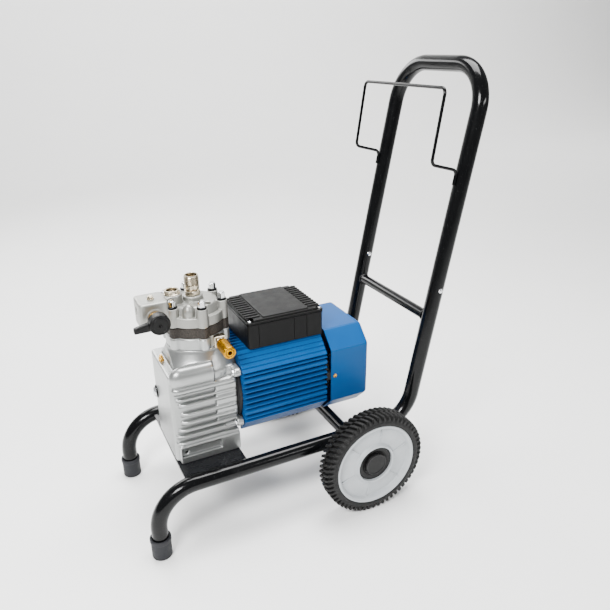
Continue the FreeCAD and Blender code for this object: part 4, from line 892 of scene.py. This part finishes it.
def buildLever():
    # round cap with a finger that tapers out of it
    look = {"finger": 47.0, "drop": 7.0, "root": 12.0, "tip": 5.5, "fingerThick": 12.0, "faceSink": 1.4}
    low, high = nodeBox("prime_valve_lever")
    body = nodeBox("prime_valve_body")
    axisX, axisZ = (body[0].x + body[1].x) / 2, (body[0].z + body[1].z) / 2
    radius = high.x - axisX
    add, take = bmesh.new(), bmesh.new()
    rod(add, radius - 0.4, low.y + 0.3, high.y - 0.3, "y", (axisX, 0, axisZ), 3, 64)
    outline = soften([(axisX, axisZ - look["root"]), (axisX, axisZ + look["root"]),
                      (axisX - radius, axisZ + look["tip"] - 1),
                      (axisX - look["finger"] + 0.8, axisZ - look["drop"] + look["tip"]),
                      (axisX - look["finger"] + 0.8, axisZ - look["drop"] - look["tip"])], 3, 3)
    inner = high.y - 3.5
    prism(add, outline, inner - look["fingerThick"], inner, "y", ease=3.2, steps=4)
    ring = [(radius - 4.6, low.y + look["faceSink"]), (radius - 4.6, low.y - 3), (radius - 6.2, low.y - 3),
            (radius - 6.2, low.y + look["faceSink"])]
    lathe(take, ring, (axisX, 0, axisZ), "y", steps=48, closed=True)
    rod(take, 3.2, low.y - 3, low.y + 3, "y", (axisX, 0, axisZ), 0.4, 24)
    addPiece("prime_valve_lever_cap", melt("prime_valve_lever_cap", add, take, voxel=0.6, passes=2),
             "prime_valve_lever", plain=False)


buildLever()
print("fittings made")


# ---- motor ----
motorLook = {"half": 97.3, "topHalf": 91.3, "corner": 33.0, "depth": 11.0, "finWidth": 3.4, "pitch": 12.4,
             "bigFin": 8.5, "bigAt": 3, "sideShare": 0.97, "panelFins": 4, "panelDepth": 2.6}


def finnedOutline(look):
    # one eighth after another: a side with deep fins, then a slanted corner with shallow ones
    half, topHalf, corner, depth = look["half"], look["topHalf"], look["corner"], look["depth"]
    inset = look["panelDepth"]
    slant = half + topHalf - corner - inset * math.sqrt(2)
    wall, roof = half - depth, topHalf - depth
    count = int((half + 6 - look["corner"]) / look["pitch"])

    def fin(centre, width, base, tip, swap):
        rows = [(base, centre - width * 0.62), (tip - 1.2, centre - width * 0.42),
                (tip - 0.3, centre - width * 0.3),
                (tip, centre), (tip - 0.3, centre + width * 0.3), (tip - 1.2, centre + width * 0.42),
                (base, centre + width * 0.62)]
        return [(b, a) for a, b in rows][::-1] if swap else rows
    side = []
    for k in range(count + 1):
        centre = k * look["pitch"] * look["sideShare"]
        big = k == look["bigAt"]
        if centre > slant - wall - 8:
            break
        side += fin(centre, look["bigFin"] if big else look["finWidth"], wall, half, False)
    side = [p for p in side if p[1] > 0.2]
    top = []
    for k in range(count + 1):
        centre = k * look["pitch"]
        if centre > slant - roof - 8:
            break
        top += fin(centre, look["finWidth"], roof, topHalf, True)
    top = [p for p in sorted(top, key=lambda p: -p[0]) if p[0] > 0.2]
    # the slanted corner starts beyond the last deep groove
    start = Vector((half - 0.5, topHalf - corner - 2.5))
    end = Vector((half - corner - 0.5, topHalf - 0.5))
    slide = (end - start).normalized()
    out = Vector((slide.y, -slide.x))
    length = (end - start).length
    panel = [Vector((wall, start.y - 5.5)), Vector((wall, start.y - 3.2)), start - out * 0.2]
    for k in range(look["panelFins"]):
        along = length * (k + 0.9) / (look["panelFins"] + 0.8)
        for step, sink in ((-1.3, 0.0), (-0.7, inset * 0.6), (0.7, inset * 0.6), (1.3, 0.0)):
            panel.append(start + slide * (along + step) - out * sink)
    panel += [end, Vector((end.x - 2, roof))]
    return side, [tuple(p) for p in panel], top


def buildHousing():
    look = motorLook
    low, high = nodeBox("motor_housing")
    side, panel, top = finnedOutline(look)
    side = [p for p in side if p[1] < panel[0][1] - 0.3]
    top = [p for p in top if p[0] < panel[-1][0] - 0.3]
    quarter = side + panel + top
    outline = [Vector(p) for p in quarter]
    outline += [Vector((-p[0], p[1])) for p in reversed(quarter)]
    outline += [Vector((-p[0], -p[1])) for p in quarter]
    outline += [Vector((p[0], -p[1])) for p in reversed(quarter)]
    shape = bmesh.new()
    at = Vector((0, 0, motorZ))
    rings = []
    for sink, along in ((1.0, low.x), (0.3, low.x + 0.3), (0, low.x + 1.0), (0, high.x - 1.0),
                        (0.3, high.x - 0.3),
                        (1.0, high.x)):
        share = 1 - sink / look["half"]
        rings.append([at + spotOn("x", p.x * share, p.y * share, along) for p in outline])
    loft(shape, rings)
    addPiece("motor_housing_finned", shape, "motor_housing", crease=32)


def toothed(radius, teeth, depth):
    outline = []
    for k in range(teeth):
        for share, reach in ((0.0, radius), (0.45, radius), (0.55, radius - depth), (0.9, radius - depth)):
            angle = 2 * math.pi * (k + share) / teeth
            outline.append((reach * math.cos(angle), reach * math.sin(angle)))
    return outline


shieldLook = {"plate": 86.0, "flange": 89.6, "hub": 33.0, "earY": 82.0, "earZ": 55.0, "toothRadius": 92.0,
              "teeth": 64, "toothDepth": 4.0, "screwHex": 6.0, "screwStem": 3.6, "screwReach": 6.3}


def buildShields():
    look = shieldLook
    plate, flange, hub = look["plate"], look["flange"], look["hub"]
    shape, low, high, _ = startShape("motor_front_shield")
    at = (0, 0, motorZ)
    profile = [(0, low.x), (plate, low.x), (plate, low.x + 1.5), (flange, low.x + 2), (89.6, low.x + 5.4),
               (87, low.x + 6),
               (plate + 1, low.x + 8), (hub, low.x + 8), (hub, high.x), (0, high.x)]
    lathe(shape, profile, at, "x", steps=96)
    for side in (-1, 1):
        for up in (-1, 1):
            y, z = side * look["earY"], motorZ + up * look["earZ"]
            block(shape, (low.x + 2.5, min(y, y - side * 30), z - 9),
                  (low.x + 8, max(y, y - side * 30), z + 9), 1)
    addPiece("motor_front_shield_ring", shape, "motor_front_shield")
    shape, low, high, _ = startShape("motor_rear_shield")
    back = nodeBox("fan_cover")[0].x
    prism(shape, toothed(look["toothRadius"], look["teeth"], look["toothDepth"]), back - 9, back - 1, "x", at,
          ease=0.6, steps=1)
    prism(shape, circleOutline(plate, 96), back - 9, back + 1, "x", at, ease=0.6)
    prism(shape, circleOutline(hub, 48), low.x, back, "x", at, ease=0.6)
    for side in (-1, 1):
        block(shape, (back - 9, min(side * 84, side * 96), motorZ - 9),
              (back + 17, max(side * 84, side * 96), motorZ + 9), 1)
    addPiece("motor_rear_shield_ring", shape, "motor_rear_shield")
    shape = bmesh.new()
    low, high = nodeBox("shield_screws")
    reach = look["screwReach"]
    for y in (low.y + reach, high.y - reach):
        for z in (low.z + reach, high.z - reach):
            rod(shape, look["screwStem"], low.x + 2, high.x, "x", (0, y, z))
            hexHead(shape, look["screwHex"], low.x + 0.6, low.x + 4, "x", (0, y, z), 0.4)
            rod(shape, 4.2, low.x, low.x + 2, "x", (0, y, z), 0.7)
    addPiece("shield_screws_hex", shape, "shield_screws")


def octagonOutline(half, topHalf, corner, ease):
    corners = [(half, -(topHalf - corner)), (half, topHalf - corner), (half - corner, topHalf),
               (-(half - corner), topHalf), (-half, topHalf - corner), (-half, -(topHalf - corner)),
               (-(half - corner), -topHalf), (half - corner, -topHalf)]
    return soften(corners, ease, 4)


def buildFanCover():
    look = {"half": 97.6, "topHalf": 94.9, "corner": 35.0, "fold": 3.2, "sheet": 1.5, "rearRound": 9.0,
            "cornerShrink": 0.586,
            "holeRadius": 4.0, "holeRings": 5, "ringPitch": 13.0}
    low, high = nodeBox("fan_cover")
    at = Vector((0, 0, motorZ))
    rear = look["rearRound"]
    rings = [(0.0, low.x)]
    for k in range(7):
        angle = k / 6 * math.pi / 2
        rings.append((rear * (1 - math.cos(angle)), high.x - rear + rear * math.sin(angle)))
    inner = [(inset + look["sheet"], along - (look["sheet"] if along > low.x else 0))
             for inset, along in reversed(rings)]

    def ringAt(inset, along):
        corner = look["corner"] - look["cornerShrink"] * inset
        line = octagonOutline(look["half"] - inset, look["topHalf"] - inset, corner, look["fold"])
        return [at + spotOn("x", p.x, p.y, along) for p in line]
    shape = bmesh.new()
    rows = [[shape.verts.new(p) for p in ringAt(*ring)] for ring in rings + inner]
    outerEnd = len(rings) - 1
    for i in range(len(rows)):
        if i == outerEnd:
            continue
        first, second = rows[i], rows[(i + 1) % len(rows)]
        for k in range(len(first)):
            j = (k + 1) % len(first)
            shape.faces.new((first[k], first[j], second[j], second[k]))
    shape.faces.new(rows[outerEnd])
    shape.faces.new(rows[outerEnd + 1])
    cover = placed("cover", meshFrom(shape, "fan_cover_sheet"))
    holes = bmesh.new()
    for ring in range(1, look["holeRings"] + 1):
        for k in range(6 * ring):
            angle = 2 * math.pi * k / (6 * ring)
            reach = ring * look["ringPitch"]
            spot = at + spotOn("x", reach * math.cos(angle), reach * math.sin(angle), 0)
            prism(holes, circleOutline(look["holeRadius"], 20), high.x - 6, high.x + 4, "x", spot, ease=0.1,
                  steps=1)
    tool = placed("holes", meshFrom(holes, "holes"))
    cutBy(cover, tool)
    addPiece("fan_cover_sheet", finishedMesh(cover), "fan_cover", crease=25)
    bpy.data.objects.remove(tool)
    screwLow, screwHigh = nodeBox("fan_cover_screws")
    screw = (screwLow + screwHigh) / 2
    shape = bmesh.new()
    for side, edge in ((-1, screwLow.y), (1, screwHigh.y)):
        start = edge - side * 2.5
        lathe(shape, [(0, start - side * 5), (2, start - side * 5), (2, start), (4.6, start),
                      (4.6, start + side * 0.7),
                      (3.4, start + side * 0.8), (3.3, start + side * 1.7), (2.2, edge), (0.9, edge),
                      (0.7, edge - side), (0, edge - side)],
              (screw.x, 0, screw.z), "y", steps=28)
    addPiece("fan_cover_screws_brass", shape, "fan_cover_screws")


buildHousing()
buildShields()
buildFanCover()
print("motor made")


# ---- terminal box ----
boxLook = {"corner": 7.0, "grooves": (0.14, 0.60, 0.77), "grooveWidth": 1.6, "lipReach": 1.2,
           "lipHeight": 3.0,
           "lidBand": 4.6, "panelRise": 2.4, "endZone": 33.0, "ridges": 11, "ridgeWidth": 5.6,
           "lidInset": 2.5,
           "screwPocket": 7.0}


def buildBox():
    look = boxLook
    shape, low, high, _ = startShape("terminal_box")
    inset = look["lipReach"]
    length = high.x - low.x
    corner = look["corner"]
    walls = [(low.x + inset, low.y + inset), (high.x - inset, low.y + inset),
             (high.x - inset, high.y - inset),
             (low.x + inset, high.y - inset)]
    base = soften(walls, corner, 5)
    groove, depth = look["grooveWidth"], 1.2
    outline = []
    for i, point in enumerate(base):
        outline.append(point)
        after = base[(i + 1) % len(base)]
        if (after - point).length < length * 0.5 or abs(after.y - point.y) > 1:
            continue
        shares = look["grooves"] if point.y < 0 else (0.25, 0.75)
        sign = 1 if after.x > point.x else -1
        spots = sorted(low.x + length * s for s in shares)
        for x in (spots if sign > 0 else spots[::-1]):
            inward = 1 if point.y < 0 else -1
            outline += [Vector((x + sign * groove * share, point.y + inward * sink))
                        for share, sink in ((-0.5, 0), (-0.25, depth), (0.25, depth), (0.5, 0))]
    prism(shape, outline, low.z, high.z - 1, ease=0.8, steps=2)
    full = soften(rectangle(low.x, low.y, high.x, high.y), corner + 1, 5)
    prism(shape, full, high.z - look["lipHeight"], high.z - 0.3, ease=0.8, steps=2)
    addPiece("terminal_box_body", shape, "terminal_box")

    shape, low, high, _ = startShape("terminal_box_lid")
    prism(shape, soften(rectangle(low.x, low.y, high.x, high.y), corner + 1, 5), low.z + 0.3,
          low.z + look["lidBand"],
          ease=1.0, steps=3)
    inset = look["lidInset"]
    pocket = look["screwPocket"]
    x0, y0, x1, y1 = low.x + inset, low.y + inset, high.x - inset, high.y - inset
    notched = [(x0 + pocket * 1.5, y0), (x1 - pocket * 1.5, y0), (x1 - pocket * 1.5, y0 + pocket * 1.4),
               (x1, y0 + pocket * 1.4), (x1, y1 - pocket * 1.4), (x1 - pocket * 1.5, y1 - pocket * 1.4),
               (x1 - pocket * 1.5, y1), (x0 + pocket * 1.5, y1), (x0 + pocket * 1.5, y1 - pocket * 1.4),
               (x0, y1 - pocket * 1.4), (x0, y0 + pocket * 1.4), (x0 + pocket * 1.5, y0 + pocket * 1.4)]
    top = high.z - look["panelRise"]
    prism(shape, soften(notched, 2.6, 4), low.z + 2, top, ease=2.6, steps=4)
    zone = look["endZone"]
    prism(shape, soften(rectangle(x0 + zone, y0 + 3, x1 - zone + 3, y1 - 3), 3, 3), top - 2, high.z, ease=1.8,
          steps=3)
    pitch = (y1 - y0 - 2.6 * pocket) / look["ridges"]
    for k in range(look["ridges"]):
        y = y0 + 1.3 * pocket + pitch * (k + 0.5)
        for start, end in ((x0 + 1.2, x0 + zone - 2.5), (x1 - zone + 5.5, x1 - 1.2)):
            prism(shape, soften(rectangle(start, y - look["ridgeWidth"] / 2, end, y + look["ridgeWidth"] / 2),
                                2.4, 3),
                  top - 2, high.z - 0.2, ease=1.5, steps=3)
    addPiece("terminal_box_lid_ribbed", shape, "terminal_box_lid")

    screwLow, screwHigh = nodeBox("lid_screws")
    shape = bmesh.new()
    seat = low.z + look["lidBand"]
    for x in (screwLow.x + 1.5, screwHigh.x - 1.5):
        for y in (screwLow.y + 1.5, screwHigh.y - 1.5):
            lathe(shape, [(0, seat - 1), (4.2, seat - 1), (4.2, seat + 0.8), (3.4, seat + 2.4),
                          (1.8, seat + 3.0),
                          (1.2, seat + 2.2), (0, seat + 2.0)], (x, y, 0), steps=28)
    addPiece("lid_screws_domed", shape, "lid_screws")


boxFittingLook = {"glandHex": 10.8, "glandRidges": 18, "openTall": 9.2, "openMargin": 1.6, "markRadius": 1.0}


def buildBoxFittings():
    look = boxFittingLook
    low, high, centre = spanOf("cable_gland")
    wall = nodeBox("terminal_box")[1].y
    shape = bmesh.new()
    hexHead(shape, look["glandHex"], wall, wall + 6, "y", (centre.x, 0, centre.z), 0.3)

    def ribbed(angle, along):
        return 0.35 * math.cos(angle * look["glandRidges"]) if wall + 7.5 < along < high.y - 5 else 0
    nut = [(5, wall - 2), (7.5, wall - 2), (7.5, wall + 3), (8.2, wall + 6.5), (9.1, wall + 8),
           (9.1, wall + 10), (9.1, wall + 13),
           (8.4, high.y - 4.5), (7.4, high.y - 1), (6.2, high.y), (5, high.y - 0.3), (5, high.y - 6)]
    lathe(shape, nut, (centre.x, 0, centre.z), "y", steps=108, closed=True, ripple=ribbed)
    addPiece("cable_gland_nut", shape, "cable_gland")
    low, high = nodeBox("switch_frame")
    rocker = nodeBox("switch_rocker")
    shape = bmesh.new()
    centre = (low + high) / 2
    wide, tall = (high.x - low.x) / 2, (high.z - low.z) / 2
    openWide, openTall = (rocker[1].x - rocker[0].x) / 2 - look["openMargin"], look["openTall"]
    outer = soften(rectangle(-wide, -tall, wide, tall), 2.5, 3)
    hole = soften(rectangle(-openWide, -openTall, openWide, openTall), 1.0, 3)
    rows = []
    for line, depth in ((outer, low.y), (outer, high.y - 0.8), (insetOutline(outer, 0.8), high.y),
                        (hole, high.y), (hole, low.y)):
        rows.append([Vector((centre.x + p.x, depth, centre.z + p.y)) for p in line])
    loft(shape, rows, closed=True)
    addPiece("switch_frame_bezel", shape, "switch_frame")
    low, high = rocker
    pivot = nodeBox("switch_frame")[0].y + 1.5
    shape = bmesh.new()
    face = [(low.y + 0.2, centre.z - 7.8), (high.y - 0.4, centre.z - 7.8), (high.y - 1.8, centre.z - 3.2),
            (pivot + 1.9, centre.z), (pivot + 0.9, centre.z + 4), (pivot + 0.7, centre.z + 7.8),
            (low.y + 0.2, centre.z + 7.8)]
    reach = (high.x - low.x) / 2 - 3.4
    prism(shape, soften(face, 1.0, 2), centre.x - reach, centre.x + reach, "x", ease=0.5, steps=2)
    rod(shape, 1, low.x, high.x, "x", (0, pivot, centre.z), 0.2, 16)
    rod(shape, look["markRadius"], high.y - 1.4, high.y - 0.9, "y", (centre.x, 0, centre.z - 4.6), 0.1,
            12)
    addPiece("switch_rocker_cap", shape, "switch_rocker")


buildBox()
buildBoxFittings()
print("terminal box made")


# ---- cart: joint screws and weld beads; the tubes keep their CAD shape ----
def buildCartDetails():
    weld = {"tube": 16.0, "bead": 2.6, "ripple": 0.35, "ripples": 26}
    low, high = nodeBox("handle_screws")
    tubes = [middleOf("side_tube_left").y, middleOf("side_tube_right").y]
    centre = (low + high) / 2
    head = tubes[0] - low.y - weld["tube"]
    shape = bmesh.new()
    for y in tubes:
        near, far = y - weld["tube"], y + weld["tube"]
        lathe(shape, [(0, near - head), (2.2, near - head + 0.25), (4.2, near - head + 1.2),
                      (5.4, near - 0.6), (5.4, near + 1.5), (0, near + 1.5)],
              (centre.x, 0, centre.z), "y", steps=36)
        hexHead(shape, 5.4, far - 0.8, far + head, "y", (centre.x, 0, centre.z))
        rod(shape, 3, near, far, "y", (centre.x, 0, centre.z))
    addPiece("handle_screws_domed", shape, "handle_screws")

    def rippled(angle, along):
        return weld["ripple"] * math.sin(angle * weld["ripples"])
    shape = bmesh.new()
    inner = tubes[1] - weld["tube"]
    for node, radius in (("handle_cross_tube", 11.0), ("rear_cross_tube", 7.5)):
        spot = middleOf(node)
        for side in (-1, 1):
            ring = [(radius - 0.5, side * (inner - 3.2)), (radius + 0.5, side * (inner - 2.4)),
                    (radius + weld["bead"], side * (inner + 0.4)),
                    (radius + weld["bead"] - 1, side * (inner + 2.5)), (radius - 0.5, side * (inner + 2.5))]
            lathe(shape, ring, (spot.x, 0, spot.z), "y", steps=104, closed=True, ripple=rippled)
    plateLow, plateHigh = nodeBox("base_plate")
    for side in (-1, 1):
        for start in range(int(plateLow.x) + 8, int(plateHigh.x) - 20, 42):
            for k in range(9):
                lathe(shape, [(0, -1.6), (1.9, -0.9), (2.3, 0), (1.9, 0.9), (0, 1.6)],
                      (start + 2.6 * k, side * (plateHigh.y - 0.9), plateHigh.z + 0.3), "x", steps=12)
    addPiece("weld_beads", shape, body="root", slot="frame_tube", crease=60)


buildCartDetails()
for node, thing in frame["nodes"].items():
    thing.data.materials.clear()
    thing.data.materials.append(surfaces[slotOf[node]])
print("cart made")


# ---- floor, light and camera ----
# each lamp: place, target and size in metres, power in watts
studio = {"floor": "#f6f6f5", "world": 0.34, "run": 7.0, "bend": 2.5, "wall": 6.0}
lamps = {"keyBox": ((-1.5, -1.3, 2.0), (0, 0, 0.35), (0.9, 0.6), 110),
         "topBox": ((0.2, 0.3, 2.6), (0, 0, 0.3), (1.8, 1.2), 150),
         "sideBox": ((1.1, -1.9, 1.35), (0, -0.1, 0.35), (1.1, 0.22), 16),
         "rimBox": ((-0.6, 2.2, 1.7), (0, 0, 0.4), (1.6, 0.6), 40),
         "backBox": ((2.0, 2.6, 4.4), (3.0, 6.0, 2.0), (8.0, 2.0), 520)}
floorMesh = bpy.data.meshes.new("studioFloor")
# the floor runs back and curves up into a wall
reach, bend, wall = studio["run"], studio["bend"], studio["wall"]
line = [(-reach, 0)] + [(wall - bend + bend * math.sin(a), bend - bend * math.cos(a))
                        for a in [math.pi / 2 * k / 16 for k in range(17)]] + [(wall, wall)]
points = [(side * 2 * reach, y, z) for y, z in line for side in (-1, 1)]
floorMesh.from_pydata(points, [], [(2 * k, 2 * k + 1, 2 * k + 3, 2 * k + 2) for k in range(len(line) - 1)])
floorMesh.shade_smooth()
floor = placed("studioFloor", floorMesh)
floor.location.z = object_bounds()[0].z - 0.0004
tree, spot = startSurface("studio", "Painted studio floor")
finishSurface(tree, blend(tree, noise(tree, spot, 400, 3.0), studio["floor"], "#fbfbfa"), 0.7)
floorMesh.materials.append(surfaces["studio"])

world = bpy.data.worlds.new("studio")
bpy.context.scene.world = world
world.use_nodes = True
world.node_tree.nodes["Background"].inputs["Color"].default_value = (1.0, 1.0, 1.0, 1.0)
world.node_tree.nodes["Background"].inputs["Strength"].default_value = studio["world"]


def softbox(name, place, target, size, power):
    light = bpy.data.lights.new(name, "AREA")
    light.shape = "RECTANGLE"
    light.size, light.size_y = size
    light.energy = power
    lamp = placed(name, light)
    lamp.location = place
    lamp.rotation_euler = (Vector(target) - Vector(place)).to_track_quat("-Z", "Y").to_euler()


for name, setting in lamps.items():
    softbox(name, *setting)

lens = bpy.data.cameras.new("camera")
lens.sensor_width, lens.lens = 36, 35.93
camera = placed("camera", lens)
view = {"place": (-0.4964, -1.0809, 0.9159), "yaw": 26.14, "down": 23.13, "roll": -0.69}
camera.location = view["place"]
yaw, down = math.radians(view["yaw"]), math.radians(view["down"])
ahead = Vector((math.sin(yaw) * math.cos(down), math.cos(yaw) * math.cos(down), -math.sin(down)))
camera.rotation_mode = "QUATERNION"
roll = Matrix.Rotation(math.radians(view["roll"]), 3, "Z").to_quaternion()
camera.rotation_quaternion = ahead.to_track_quat("-Z", "Y") @ roll
bpy.context.scene.camera = camera
print("studio made")
